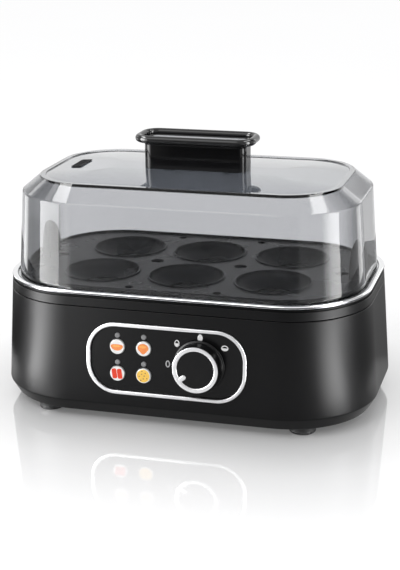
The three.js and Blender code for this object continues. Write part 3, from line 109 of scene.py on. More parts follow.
def draft(z):
    """Inset of the drafted outer wall at height z: the draft share of the height above the break."""
    return DRAFT * (z - BREAK_Z)


def crown(y):
    """Height of the lid's top at y from its middle line: a parabola that falls to the border's foot."""
    return TOP_Z + TOP_CROWN * (1 - (y / CROWN_REACH) ** 2)


def shift(x, y, z=0):
    """Placing matrix that only moves."""
    return Matrix.Translation((x, y, z))


def on_wall(side, x, rise):
    """A frame on the leaning front (-1) or rear (1) wall, at a rise above its break: Z points out of it."""
    return shift(x, side * (BODY[1] - DRAFT * rise), BREAK_Z + rise) @ Matrix.Rotation(
        side * (LEAN - math.pi / 2), 4, "X")


PANEL_PLACE = on_wall(-1, 0, PANEL_RISE)
GLAND_PLACE = on_wall(1, GLAND_X, GLAND_RISE)


def arc(centre, half, start, end, count):
    """Points of an ellipse about a centre: the centre plus the half axes times cosine and sine, between
    two angles in half turns."""
    angle = np.linspace(start, end, count) * math.pi
    return np.stack([centre[0] + half[0] * np.cos(angle), centre[1] + half[1] * np.sin(angle)], 1)


def softened(points, radii, steps=6, hold=0.35, shut=False):
    """Polyline with tangent arcs at its corners: at each corner an arc of its radius is swung between the
    two tangent points by spherical interpolation, with a held point beyond each end so flats shade flat.
    A line that isn't shut keeps its two ends. Points that fall together are left out."""
    corner = np.asarray(points, float)
    radius = np.array(np.broadcast_to(np.asarray(radii, float), len(corner)))
    back = np.roll(corner, 1, 0) - corner
    ahead = np.roll(corner, -1, 0) - corner
    back /= np.linalg.norm(back, axis=1, keepdims=True)
    ahead /= np.linalg.norm(ahead, axis=1, keepdims=True)
    if not shut:
        radius[[0, -1]] = 0
    between = np.arccos(np.clip((back * ahead).sum(1), -1, 1))
    turn = np.maximum(math.pi - between, 1e-6)[:, None]
    reach = (radius / np.tan(between / 2))[:, None]
    middle = back + ahead
    middle /= np.maximum(np.linalg.norm(middle, axis=1, keepdims=True), 1e-9)
    centre = corner + middle * (radius / np.sin(between / 2))[:, None]
    start = corner + back * reach - centre
    end = corner + ahead * reach - centre
    share = np.linspace(0, 1, steps + 1)[None, :, None]
    weight_start = np.sin((1 - share) * turn[:, None]) / np.sin(turn[:, None])
    weight_end = np.sin(share * turn[:, None]) / np.sin(turn[:, None])
    swung = centre[:, None] + weight_start * start[:, None] + weight_end * end[:, None]
    held = np.where(radius > 0, hold, 0)[:, None]
    before = corner + back * (reach + held)
    after = corner + ahead * (reach + held)
    line = np.concatenate([before[:, None], swung, after[:, None]], 1).reshape(-1, 2)
    apart = np.linalg.norm(line - np.roll(line, 1, 0), axis=1) > 1e-5
    apart[0] = True
    return line[apart]


def ring(plan, inset, steps=20, hold=1.2, along=1):
    """Rounded rectangle set in by inset: four quarter circles about the corner centres, with a held point
    on the straight beside each end of a quarter, and more points along the straights where asked."""
    half_x, half_y, corner = plan
    inset = np.atleast_1d(np.asarray(inset, float))[:, None]
    radius = np.maximum(corner - inset, 0.5)
    quarter = np.repeat(np.arange(4), steps + 3)
    within = np.tile(np.r_[0, np.linspace(0, 1, steps + 1), 1], 4)
    slide = np.tile(np.r_[-hold, np.zeros(steps + 1), hold], 4)
    angle = (quarter + within) * math.pi / 2
    sign_x = np.array([1, -1, -1, 1])[quarter]
    sign_y = np.array([1, 1, -1, -1])[quarter]
    x = sign_x * (half_x - inset - radius) + radius * np.cos(angle) - slide * np.sin(angle)
    y = sign_y * (half_y - inset - radius) + radius * np.sin(angle) + slide * np.cos(angle)
    points = np.stack([x, y], -1)
    if along > 1:
        count = len(angle)
        last = np.arange(1, 5) * (steps + 3) - 1
        between = (last[:, None] + np.arange(1, along) / along).ravel()
        place = np.sort(np.r_[np.arange(count), between])
        low = np.floor(place).astype(int)
        part = (place - low)[None, :, None]
        points = points[:, low] * (1 - part) + points[:, (low + 1) % count] * part
    return points


def grown(plan, by):
    """Outline made larger all round, with its corners' centres kept."""
    return tuple(each + by for each in plan)


def carried(plan, profile, **options):
    """Profile of (inset, height) rows carried round the outline: a grid of rings, one to a row."""
    profile = np.asarray(profile, float)
    flat = ring(plan, profile[:, 0], **options)
    height = np.broadcast_to(profile[:, 1][:, None, None], flat.shape[:2] + (1,))
    return np.concatenate([flat, height], -1)


def turned(profile, steps=64):
    """Profile of (radius, height) rows turned about Z: a grid of circles, one to a row."""
    profile = np.asarray(profile, float)
    angle = np.arange(steps) / steps * 2 * math.pi
    x = profile[:, 0][:, None] * np.cos(angle)
    y = profile[:, 0][:, None] * np.sin(angle)
    z = np.broadcast_to(profile[:, 1][:, None], x.shape)
    return np.stack([x, y, z], -1)


def skin(grid, ring_shut=False):
    """Closed surface over a grid of loops: quads between neighbouring loops, and either the last loop
    joined to the first or a flat face over each end."""
    loops, count = grid.shape[:2]
    index = np.arange(loops * count).reshape(loops, count)
    upper = np.roll(index, -1, 0) if ring_shut else index[1:]
    lower = index if ring_shut else index[:-1]
    quads = np.stack([lower, np.roll(lower, -1, 1), np.roll(upper, -1, 1), upper], -1).reshape(-1, 4)
    faces = quads.tolist()
    if not ring_shut:
        faces += [index[0, ::-1].tolist(), index[-1].tolist()]
    return grid.reshape(-1, 3), faces


def rod(radius, low, high, steps):
    """Upright round rod, the shape of a bored hole."""
    return skin(turned([(radius, low), (radius, high)], steps))


def block(plan, low, high, **options):
    """Upright block over an outline, the shape of a cut opening."""
    return skin(carried(plan, [(0, low), (0, high)], **options))


def moved(shape, place):
    """The shape carried by a placing matrix: every point times the matrix."""
    points, faces = shape
    matrix = np.array(place)
    return points @ matrix[:3, :3].T + matrix[:3, 3], faces


def together(shapes):
    """Several closed shapes as one list of points and faces."""
    start = np.cumsum([0] + [len(points) for points, _ in shapes])
    faces = [[int(base) + k for k in face] for base, (_, own) in zip(start, shapes) for face in own]
    return np.concatenate([points for points, _ in shapes]), faces


def mesh_of(shape, name):
    """A mesh datablock of the shape, in the units it has."""
    mesh = bpy.data.meshes.new(name)
    mesh.from_pydata(shape[0].tolist(), [], shape[1])
    mesh.update()
    return mesh


def rows_of(items, field):
    """A three-number field of a mesh's vertices or faces, a row to each."""
    values = np.empty(len(items) * 3)
    items.foreach_get(field, values)
    return values.reshape(-1, 3)


def linked(name, data):
    """A new object of the data, in the scene."""
    thing = bpy.data.objects.new(name, data)
    bpy.context.scene.collection.objects.link(thing)
    return thing


def carved(shape, cutters):
    """The shape less its cutters: an exact Boolean between two closed meshes."""
    body = linked("work", mesh_of(shape, "work"))
    tool = linked("tool", mesh_of(together(cutters), "tool"))
    change = body.modifiers.new("cut", "BOOLEAN")
    change.operation = "DIFFERENCE"
    change.solver = "EXACT"
    change.object = tool
    graph = bpy.context.evaluated_depsgraph_get()
    result = bpy.data.meshes.new_from_object(body.evaluated_get(graph))
    faces = [list(polygon.vertices) for polygon in result.polygons]
    for each in (body, tool):
        bpy.data.objects.remove(each)
    return rows_of(result.vertices, "co"), faces


# The least angle between two faces that shows as an edge
CREASE = math.radians(32)


def piece(name, shape, node, finishes, place=None, choose=None):
    """A new piece at its real place: the shape moved by place, set back to the body's middle and scaled
    to metres. It rides with its node's body. choose picks each face's finish by its middle and normal."""
    if place is not None:
        shape = moved(shape, place)
    points = (shape[0] + np.array([0, BODY_Y, 0])) * MM
    mesh = mesh_of((points, shape[1]), name)
    mesh.shade_smooth()
    mesh.set_sharp_from_angle(angle=CREASE)
    for each in finishes:
        mesh.materials.append(each)
    if choose is not None:
        picked = choose(rows_of(mesh.polygons, "center") / MM, rows_of(mesh.polygons, "normal"))
        mesh.polygons.foreach_set("material_index", picked.astype(np.int32))
    thing = linked(name, mesh)
    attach(thing, frame["nodes"][node]["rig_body"])
    return thing


# Materials


# Slants, as Layer Weight gives them, between which a clear wall turns to its edge colour
EDGE_SLANTS = (0.26, 0.5)


def feed(tree, value, socket):
    """Links a socket to the given one, or sets it to a number, vector or colour."""
    if isinstance(value, bpy.types.NodeSocket):
        tree.links.new(value, socket)
    else:
        socket.default_value = value


def maths(tree, operation, *values, vector=False):
    """One math node, or one vector math node, over values and sockets."""
    made = tree.nodes.new("ShaderNodeVectorMath" if vector else "ShaderNodeMath")
    made.operation = operation
    for value, socket in zip(values, made.inputs):
        feed(tree, value, socket)
    return made.outputs["Value" if operation == "LENGTH" else 0]


def ranged(tree, value, start, end, low, high):
    """A value carried from one range to another, in a straight line and held at its ends."""
    made = tree.nodes.new("ShaderNodeMapRange")
    for label, number in (("From Min", start), ("From Max", end), ("To Min", low), ("To Max", high)):
        made.inputs[label].default_value = number
    tree.links.new(value, made.inputs["Value"])
    return made.outputs["Result"]


def blended(tree, share, first, second):
    """Two colours, or sockets that give them, mixed by a share."""
    made = tree.nodes.new("ShaderNodeMix")
    made.data_type = "RGBA"
    for label, value in (("A", first), ("B", second), ("Factor", share)):
        feed(tree, value, made.inputs[label])
    return made.outputs["Result"]


def noise(tree, vector, scale, detail=2.0, roughness=0.5):
    """A noise texture's value on the given coordinates; scale is a number or a socket."""
    made = tree.nodes.new("ShaderNodeTexNoise")
    made.inputs["Detail"].default_value = detail
    made.inputs["Roughness"].default_value = roughness
    tree.links.new(vector, made.inputs["Vector"])
    feed(tree, scale, made.inputs["Scale"])
    return made.outputs[0]


def effect_group(name, inputs):
    """An empty shader group with the named inputs, whose outputs are roughness, height and mask."""
    group = bpy.data.node_groups.new(name, "ShaderNodeTree")
    for label, kind, value in inputs:
        made = group.interface.new_socket(label, in_out="INPUT", socket_type=kind)
        if value is not None:
            made.default_value = value
    for label in ("Roughness", "Height", "Mask"):
        group.interface.new_socket(label, in_out="OUTPUT", socket_type="NodeSocketFloat")
    return group, group.nodes.new("NodeGroupInput").outputs, group.nodes.new("NodeGroupOutput").inputs


def put_out(group, given, wanted, height, mask):
    """Puts out the height, the mask, and the roughness as given plus (mask - 1/2) x swing."""
    sway = maths(group, "SUBTRACT", mask, 0.5)
    rough = maths(group, "MULTIPLY_ADD", sway, given["Swing"], given["Roughness"])
    for label, value in (("Roughness", rough), ("Height", height), ("Mask", mask)):
        group.links.new(value, wanted[label])
    return group


def grain_group():
    """Moulded grain: fine noise gives the height, broad noise sways the roughness and the colour mask."""
    group, given, wanted = effect_group(
        "moulded_grain",
        [("Vector", "NodeSocketVector", None), ("Grain", "NodeSocketFloat", 3000.0),
         ("Patch", "NodeSocketFloat", 40.0), ("Roughness", "NodeSocketFloat", 0.4),
         ("Swing", "NodeSocketFloat", 0.1)])
    fine = noise(group, given["Vector"], given["Grain"], 3.0)
    broad = noise(group, given["Vector"], given["Patch"], 2.0, 0.6)
    return put_out(group, given, wanted, fine, broad)


def brushed_group():
    """Brushed metal: noise on coordinates squeezed by Stretch makes long streaks, which give the height,
    sway the roughness and mask the colour."""
    group, given, wanted = effect_group(
        "brushed_metal",
        [("Vector", "NodeSocketVector", None), ("Stretch", "NodeSocketVector", (40.0, 2000.0, 2000.0)),
         ("Roughness", "NodeSocketFloat", 0.3), ("Swing", "NodeSocketFloat", 0.1)])
    squeezed = maths(group, "MULTIPLY", given["Vector"], given["Stretch"], vector=True)
    lines = noise(group, squeezed, 1.0, 3.0)
    return put_out(group, given, wanted, lines, lines)


GRAIN = grain_group()
BRUSHED = brushed_group()


def finish(name, pale, dark, roughness, swing=0.06, grain=2500.0, patch=35.0, depth=0.02,
           stretch=None, edge=None, **sockets):
    """A procedural finish: the group's mask mixes two close colours, its roughness and height feed the
    shader, and what is the same all over sits on the shader's own sockets. A clear wall has an edge
    colour too, that it turns to where the eye meets it at a slant and looks through more of it."""
    made = bpy.data.materials.new(name)
    made.use_nodes = True
    tree = made.node_tree
    shader = tree.nodes["Principled BSDF"]
    effect = tree.nodes.new("ShaderNodeGroup")
    effect.node_tree = GRAIN if stretch is None else BRUSHED
    tree.links.new(tree.nodes.new("ShaderNodeTexCoord").outputs["Object"], effect.inputs["Vector"])
    own = {"Grain": grain, "Patch": patch} if stretch is None else {"Stretch": stretch}
    for socket, value in {"Roughness": roughness, "Swing": swing, **own}.items():
        effect.inputs[socket].default_value = value
    colour = blended(tree, effect.outputs["Mask"], (*dark, 1), (*pale, 1))
    if edge is not None:
        slant = tree.nodes.new("ShaderNodeLayerWeight").outputs["Facing"]
        colour = blended(tree, ranged(tree, slant, *EDGE_SLANTS, 0.0, 1.0), colour, (*edge, 1))
    tree.links.new(colour, shader.inputs["Base Color"])
    tree.links.new(effect.outputs["Roughness"], shader.inputs["Roughness"])
    bump = tree.nodes.new("ShaderNodeBump")
    bump.inputs["Distance"].default_value = depth * MM
    tree.links.new(effect.outputs["Height"], bump.inputs["Height"])
    tree.links.new(bump.outputs["Normal"], shader.inputs["Normal"])
    for socket, value in sockets.items():
        shader.inputs[socket.replace("_", " ")].default_value = value
    return made


SATIN = finish("satin_black_moulding", (0.0036, 0.0036, 0.0041), (0.0026, 0.0026, 0.003), 0.33, 0.05,
               2200, 30, 0.012, Specular_IOR_Level=0.14)
GLOSS = finish("gloss_black_moulding", (0.006, 0.006, 0.0065), (0.003, 0.003, 0.0035), 0.07, 0.04, 400, 25,
               0.002, Specular_IOR_Level=0.22)
RIM_GLOSS = finish("gloss_black_rim", (0.005, 0.005, 0.0055), (0.003, 0.003, 0.0035), 0.09, 0.04, 400, 25,
                   0.002, Specular_IOR_Level=0.45)
TRAY_BLACK = finish("tray_black_moulding", (0.010, 0.011, 0.013), (0.006, 0.0065, 0.008), 0.28, 0.08,
                    1500, 30, 0.002, Specular_IOR_Level=0.2)
FASCIA_BLACK = finish("fascia_black", (0.0055, 0.0055, 0.006), (0.004, 0.004, 0.0045), 0.22, 0.05, 1800, 40,
                      0.006, Specular_IOR_Level=0.16)
KNOB_BLACK = finish("knob_black", (0.006, 0.006, 0.0065), (0.0042, 0.0042, 0.0047), 0.26, 0.05, 2600, 60,
                    0.01, Specular_IOR_Level=0.16)
CLEAR = finish("clear_smoke_wall", (0.70, 0.705, 0.72), (0.68, 0.685, 0.70), 0.02, 0.02, 250, 12, 0.002,
               edge=(0.21, 0.215, 0.225), Transmission_Weight=1.0, IOR=1.33)
CLEAR_TOP = finish("clear_smoke_top", (0.24, 0.262, 0.30), (0.215, 0.235, 0.27), 0.02, 0.02, 250, 12, 0.002,
                   Transmission_Weight=1.0, IOR=1.33, Coat_Weight=1.0, Coat_IOR=2.0, Coat_Roughness=0.03)
CHROME = finish("polished_steel", (0.86, 0.865, 0.875), (0.80, 0.805, 0.815), 0.07, 0.05, 600, 45, 0.003,
                Metallic=1.0)
# Darker copy of the polished steel for the bead's lower half: painted shade
PAINTED_SHADE_STEEL = finish("painted_shade_steel", (0.14, 0.14, 0.15), (0.10, 0.10, 0.11), 0.12, 0.05, 600, 45, 0.003,
                   Metallic=1.0)
VENT_BLACK = finish("vent_black", (0.022, 0.022, 0.023), (0.016, 0.016, 0.017), 0.6, 0.05, 2600, 60, 0.01,
                    Specular_IOR_Level=0.05)
STEEL = finish("brushed_steel", (0.62, 0.63, 0.64), (0.5, 0.51, 0.52), 0.27, 0.1, depth=0.006,
               stretch=(60, 1800, 1800), Metallic=1.0)
SILVER = finish("satin_silver_trim", (0.72, 0.72, 0.73), (0.61, 0.61, 0.62), 0.3, 0.12, depth=0.01,
                stretch=(70, 2500, 2500), Metallic=1.0)
ALUMINIUM = finish("milled_aluminium", (0.74, 0.75, 0.76), (0.6, 0.61, 0.62), 0.4, 0.1, depth=0.01,
                   stretch=(1500, 50, 1500), Metallic=1.0)
RUBBER = finish("foot_rubber", (0.02, 0.02, 0.021), (0.012, 0.012, 0.013), 0.5, 0.15, 1600, 70, 0.03,
                Specular_IOR_Level=0.4)
SILICONE = finish("gasket_silicone", (0.34, 0.35, 0.36), (0.28, 0.29, 0.3), 0.55, 0.1, 1200, 60, 0.02)
BOARD = finish("board_lacquer", (0.02, 0.13, 0.06), (0.01, 0.07, 0.035), 0.35, 0.1, 900, 160, 0.03)
WHITE = finish("button_white", (0.90, 0.90, 0.89), (0.85, 0.85, 0.84), 0.25, 0.06, 1800, 90, 0.006,
               Coat_Weight=0.3)
MARK = finish("mark_white", (0.96, 0.96, 0.96), (0.92, 0.92, 0.92), 0.45, 0.06, 2600, 200, 0.004)
MARK_GREY = finish("mark_grey", (0.50, 0.50, 0.51), (0.42, 0.42, 0.43), 0.45, 0.06, 2600, 200, 0.004)
LAMP = finish("lamp_lens_grey", (0.27, 0.27, 0.275), (0.22, 0.22, 0.225), 0.6, 0.08, 1400, 300, 0.004,
              Specular_IOR_Level=0.1)
INLAY = finish("inlay_pale_grey", (0.66, 0.67, 0.70), (0.58, 0.59, 0.62), 0.25, 0.08, 2200, 60, 0.006)
CERAMIC = finish("heater_ceramic", (0.66, 0.62, 0.52), (0.54, 0.5, 0.42), 0.6, 0.1, 1500, 90, 0.03)
HEATER = finish("heater_sheath", (0.16, 0.15, 0.145), (0.09, 0.085, 0.08), 0.42, 0.14, 1300, 120, 0.02,
                Metallic=1.0)
ORANGE = finish("motif_orange", (0.95, 0.33, 0.05), (0.86, 0.17, 0.02), 0.4, 0.08, 2400, 700, 0.008)
AMBER = finish("motif_amber", (0.98, 0.48, 0.10), (0.93, 0.33, 0.04), 0.4, 0.08, 2400, 700, 0.008)
RED = finish("motif_red", (0.86, 0.07, 0.02), (0.72, 0.035, 0.012), 0.4, 0.08, 2400, 900, 0.008,
             Specular_IOR_Level=0.2)
YELLOW = finish("motif_yellow", (0.95, 0.66, 0.10), (0.86, 0.45, 0.03), 0.4, 0.08, 2400, 900, 0.008)
BROWN = finish("motif_brown", (0.30, 0.13, 0.03), (0.2, 0.08, 0.02), 0.5, 0.08, 2400, 900, 0.008)


# Housing, collar and pan


def housing():
    """Drafted wall on a chamfered foot: the section carried round the body's outline as a closed ring,
    with the panel window and the cord hole cut through it."""
    outer = [(4.2, FOOT_Z), (0, BREAK_Z), (draft(SEAM_Z), SEAM_Z)]
    inner = [(inset + HOUSING_WALL, z) for inset, z in outer[::-1]]
    section = softened(outer + inner, [0.7, 1.6, 0.45, 0, 0, 0], shut=True)
    shell = skin(carried(BODY, section, steps=28), ring_shut=True)
    recess = moved(block(grown(PANEL, SEAT), -0.8, 3), PANEL_PLACE)
    opening = moved(block(grown(PANEL, -1.4), -5, 3), PANEL_PLACE)
    hole = moved(rod(6.3, -5, 3, 40), GLAND_PLACE)
    for cutter in (recess, opening, hole):
        shell = carved(shell, [cutter])
    return shell


def collar():
    """Upper moulding: an L-shaped section with a lip inside the housing and a groove for the gasket."""
    low = SEAM_Z + SEAT
    top = draft(COLLAR_Z)
    section = softened(
        [(draft(low), low), (top, 75.1), (top + 1.1, 75.1), (top + 1.1, COLLAR_Z), (8.1, COLLAR_Z),
         (8.1, 74.4), (11.1, 74.4), (11.1, COLLAR_Z), (12.4, COLLAR_Z), (12.4, 73.3), (8.57, 73.3),
         (8.57, 65.3), (6.77, 65.3), (6.77, low)],
        [0.45, 0.3, 0, 0.2, 0, 0, 0, 0, 0.4, 0.4, 0, 0.4, 0.3, 0], hold=0.2, shut=True)
    return skin(carried(BODY, section, steps=28), ring_shut=True)


def pan():
    """Drawn pan in thin sheet: floor, rounded foot, flared wall, ledge and a rolled bead at the rim.
    The outer line runs up from the floor and the inner line back down, a sheet's thickness inside it."""
    rim = arc((6.1, 77.45), (-1.85, 1.25), -0.42, 1, 22)
    outer = softened([(40, 57.2), (14.5, 57.2), (13.31, 76.2), (7.2, 76.2)], [0, 6.8, 1.4, 0])
    inner = softened([(7.95, LEDGE_Z), (14.11, LEDGE_Z), (15.3, 58.0), (40, 58.0)], [0, 1.6, 6.0, 0])
    return skin(carried(BODY, np.concatenate([outer, rim, inner]), steps=28))


# Height under which the pan is plain sheet, slack about its ledge, and the least upward share of a face
# of the bead that is polished; the bead's faces that lean further down get a darker steel, painted shade
BEAD_LOW_Z = 76.1
LEDGE_SLACK = 0.02
BEAD_UP = 0.5


def pan_finish(at, normal):
    """Polished bead, its lower half in a darker steel as painted shade, and plain sheet below and inside it.
    """
    plain = (at[:, 2] < BEAD_LOW_Z) | (np.abs(at[:, 2] - LEDGE_Z) < LEDGE_SLACK)
    return np.where(plain, 1, np.where(normal[:, 2] < BEAD_UP, 2, 0))


# Tray


POCKETS_X = (-53.0, 0.0, 53.0)
POCKETS_Y = (-26.5, 26.5)
POCKET_RADIUS = 22.0
POCKET_TAPER = 9.0
POCKET_TOP_Z = 79.3
POCKET_DEPTH = 8.2
POCKET_WALL = 1.6
POCKET_HOLE = 22.8
# Steam holes: radius, x, y
STEAM_HOLES = [(4, -26.5, 0), (4, 26.5, 0), (4, -89.2, 0), (4, 89.2, 0)]
STEAM_HOLES += [(2.6, x, y) for x in (-26.5, 26.5) for y in (-55.3, 55.3)]
# The arch in the rim beside each ear: half width, rise of its ellipse and how deep the ellipse is sunk,
# and the x and z beyond which the rim's points rise with it
ARCH_HALF_WIDTH = 29.0
ARCH_RISE = 5.0
ARCH_SUNK = 1.2
ARCH_X = 70.0
ARCH_LOW_Z = 79.7
EAR_X = 99.0
EAR_HALF_WIDTH = 10.5
EAR_DEPTH = 7.0
EAR_ROOT = 0.9
EAR_RISE = 22.3
EAR_POWER = 2.4
EAR_TIP = 0.085


def tray_plate():
    """Tray plate: its section carried round the outline, then the rim's points raised at each end by an
    elliptical arch in y, and leaned in by the draft as they rise."""
    section = softened(
        [(0, TRAY_LOW_Z), (0, 80.3), (1.8, 80.3), (1.8, TRAY_Z)], [0.5, 0.7, 0.7, 0.6], steps=4, hold=0.15)
    section = np.concatenate([section, [(4, TRAY_Z)]])
    grid = carried(TRAY, section, steps=28, along=14)
    arch = np.sqrt(np.clip(1 - (grid[..., 1] / ARCH_HALF_WIDTH) ** 2, 0, 1)) * ARCH_RISE - ARCH_SUNK
    at_end = (np.abs(grid[..., 0]) > ARCH_X) & (grid[..., 2] > ARCH_LOW_Z)
    rise = np.where(at_end, np.clip(arch, 0, None), 0)
    grid[..., 2] += rise
    grid[..., 0] -= np.sign(grid[..., 0]) * rise * DRAFT
    return skin(grid)


def pocket():
    """One dished pocket: an inner wall whose radius shrinks with the square of the depth, its outside a
    wall's thickness away, a rounded lip above the plate and an open hole below."""
    s = np.linspace(0, 1, 14)
    inside = np.stack([POCKET_RADIUS - POCKET_TAPER * s ** 2, POCKET_TOP_Z - POCKET_DEPTH * s], 1)
    outside = inside[::-1] + np.array([POCKET_WALL, 0])
    lip_z = POCKET_TOP_Z - 0.1
    outside = outside[outside[:, 1] < lip_z - 0.2]
    half = POCKET_WALL / 2
    lip = arc((POCKET_RADIUS + half, lip_z), (half, half), 0, 1, 9)
    foot = arc((POCKET_RADIUS - POCKET_TAPER + half, POCKET_TOP_Z - POCKET_DEPTH), (half, half), 1, 2, 9)
    return turned(np.concatenate([foot, outside[1:], lip, inside[1:-1]]), 64)


def ear(side):
    """Lifting ear: a C-shaped strip of even thickness, open towards the pockets, whose width and depth
    shrink with height h as (1 - h^p)^(1/p), p the power, so it ends in a round arch."""
    h = np.sin(np.linspace(0, 1, 30) * math.pi / 2)
    arch = np.maximum((1 - h ** EAR_POWER) ** (1 / EAR_POWER), EAR_TIP)[:, None]
    bend = np.linspace(-math.pi / 2, math.pi / 2, 19)
    cap = np.linspace(0, math.pi, 7)[1:-1]
    end = np.full_like(cap, math.pi / 2)
    one = np.ones_like(bend)
    along = np.r_[bend, end, bend[::-1], -end]
    across = np.r_[one, np.cos(cap), -one, -np.cos(cap)]
    beyond = np.r_[0 * one, np.sin(cap), 0 * one, -np.sin(cap)]
    depth = EAR_DEPTH * arch
    width = EAR_HALF_WIDTH * arch
    wall = np.minimum(1.0, depth / 4)
    normal = np.stack([np.cos(along), np.sin(along)])
    tangent = np.stack([-np.sin(along), np.cos(along)])
    x = (depth - wall) * normal[0] + wall * (across * normal[0] + beyond * tangent[0]) - depth / 2
    y = (width - wall) * normal[1] + wall * (across * normal[1] + beyond * tangent[1])
    z = np.broadcast_to((TRAY_Z - EAR_ROOT + EAR_RISE * h)[:, None], x.shape)
    grid = np.stack([side * (EAR_X + x), y, z], -1)
    return skin(grid[:, ::side])


def pocket_tray():
    """The plate pierced by its pockets and steam holes, with the dished pockets and ears set in."""
    spots = [(x, y) for x in POCKETS_X for y in POCKETS_Y]
    holes = [(POCKET_HOLE, *spot, 48) for spot in spots] + [(*hole, 28) for hole in STEAM_HOLES]
    cutters = [moved(rod(radius, 70, 84, count), shift(x, y)) for radius, x, y, count in holes]
    plate = carved(tray_plate(), cutters)
    dishes = [moved(skin(pocket(), ring_shut=True), shift(*spot)) for spot in spots]
    return together([plate, *dishes, ear(1), ear(-1)])


# Lid and handle


# Height over which the lid's level faces are its darker top, the least upright share of their normals,
# and height over which the handle is its glossy rim
LID_TOP_LOW_Z = 134.9
LEVEL_SHARE = 0.9
RIM_LOW_Z = 154.9


def clear_lid():
    """Clear lid: outer line up the drafted wall, over a soft break and the sloped shoulder to a raised
    border and a flat top; inner line a wall's thickness inside it. The vent opening is cut through."""
    slope_in = draft(BREAK_Z + SHOULDER_Z - LID_LOW_Z)
    top_in = slope_in + 11.2
    inner = softened(
        [(top_in + 3.6, TOP_Z - LID_WALL), (top_in + 1.0, TOP_Z - LID_WALL),
         (slope_in + LID_WALL, SHOULDER_Z - 1), (LID_WALL, LID_LOW_Z)],
        [0, 1.0, 2.0, 0.3])
    outer = softened(
        [(LID_WALL, LID_LOW_Z), (0, LID_LOW_Z), (slope_in, SHOULDER_Z), (top_in, LID_TOP_Z),
         (top_in + 3.0, LID_TOP_Z), (top_in + 3.6, TOP_Z), (top_in + 4.4, TOP_Z + 0.04)],
        [0.3, 0.5, 1.8, 0.8, 0.4, 0.3, 0])
    inset = np.linspace(top_in + 5.5, LID[1] - HANDLE[1], 16)
    top = np.stack([inset, crown(LID[1] - inset)], 1)
    ceiling = top[::-1] - np.array([0, LID_WALL])
    shell = skin(carried(LID, np.concatenate([ceiling, inner, outer[1:], top]), steps=32))
    vent = block((2.9, 9.9, 1.5), -4, 4, steps=6, hold=0.3)
    return carved(shell, [moved(vent, VENT_PLACE)])


def lid_finish(at, normal):
    """Clear wall and shoulder, and the darker level top."""
    return (at[:, 2] > LID_TOP_LOW_Z) & (np.abs(normal[:, 2]) > LEVEL_SHARE)


# The vent leans with the crown at its place
VENT_X = -74.4
VENT_FROM_CREST = LID[1] - (LID[0] + VENT_X)
VENT_PLACE = shift(VENT_X, 0, crown(VENT_FROM_CREST)) @ Matrix.Rotation(
    -math.atan(2 * TOP_CROWN * VENT_FROM_CREST / CROWN_REACH ** 2), 4, "Y")


def vent_insert():
    """Slotted insert: a brimmed block on the lid's top with four slots across its well."""
    section = softened([(0, -2.0), (0, SEAT), (-0.9, SEAT), (-0.9, 0.55), (0.5, 0.55), (0.8, 0.3)],
                       [0.3, 0, 0.05, 0.15, 0.1, 0], steps=4, hold=0.1)
    body = skin(carried((2.6, 9.6, 0.7), section, steps=8, hold=0.3))
    slot = block((1.5, 0.8, 0.7), -4, 4, steps=5, hold=0.05)
    slots = [moved(slot, shift(0, (k - 1.5) * 3.84)) for k in range(4)]
    return moved(carved(body, slots), VENT_PLACE)


def handle_grip():
    """Handle: a straight column that flares under a rolled rim; the rim is a round bead and the dish
    inside it slopes down to a flat floor."""
    bead = arc((-3.3, 157.6), (-2.3, 2.3), -0.42, 1.12, 22)
    lower = softened([(0, HANDLE_LOW_Z), (0, 155.0), (-3.0, 155.35)], [0.5, 1.4, 0])
    dish = softened([(-0.9, 156.6), (0.3, 155.5), (4.0, 155.5)], [0, 0.6, 0], steps=4, hold=0.1)
    return skin(carried(HANDLE, np.concatenate([lower[:-1], bead, dish]), steps=16, hold=0.5))


def grip_finish(at, normal):
    """Glossier rim, and the column below it."""
    return at[:, 2] < RIM_LOW_Z


def inlay_plate():
    """Plate in the handle's dish: a slab of the handle's outline with a rounded upper edge."""
    section = softened([(2.2, 155.8), (2.2, 156.6), (4.0, 156.6)], [0.1, 0.35, 0], steps=4, hold=0.1)
    return skin(carried(HANDLE, section, steps=12, hold=0.5))


# Control panel, in the front wall's own frame


def bezel_frame():
    """Bezel: a rounded band carried round the panel's outline, with a sleeve back through the wall."""
    section = softened(
        [(0.2, -0.5), (0.2, 1.0), (2.4, 1.0), (2.4, -2.5), (1.7, -2.5), (1.7, -0.5)],
        [0, 0.6, 0.6, 0, 0, 0], hold=0.1, shut=True)
    return skin(carried(PANEL, section, steps=24, hold=0.8), ring_shut=True)


BUTTON_PLACES = [(x, y) for y in (7.0, -9.2) for x in (-29.5, -13.5)]
BUTTON_FACE = 0.2
LAMP_RISE = 6.75
BUTTON_HOLE = 4.75
LAMP_HOLE = 1.8
SHAFT_HOLE = 3.4
# The printed signs' height above their face, and the thickness of their lines
MARK_HEIGHT = 0.04
MARK_LINE = 0.5


def fascia_plate():
    """Fascia: a slab inside the bezel with a flange behind the wall, and clear holes for what it carries."""
    section = softened([(0.7, -4.3), (0.7, -2.8), (2.7, -2.8), (2.7, FASCIA_Z), (5, FASCIA_Z)],
                       [0, 0, 0, 0.25, 0], steps=4, hold=0.1)
    plate = skin(carried(PANEL, section, steps=24, hold=0.8))
    places = [(BUTTON_HOLE, x, y) for x, y in BUTTON_PLACES]
    places += [(LAMP_HOLE, x, y + LAMP_RISE) for x, y in BUTTON_PLACES]
    places += [(SHAFT_HOLE, KNOB_X, KNOB_Y)]
    cutters = [moved(rod(radius, -8, 2, 48), shift(x, y)) for radius, x, y in places]
    return carved(plate, cutters)


def knob_place():
    """Where the knob's own frame stands in the panel's."""
    return PANEL_PLACE @ shift(KNOB_X, KNOB_Y)


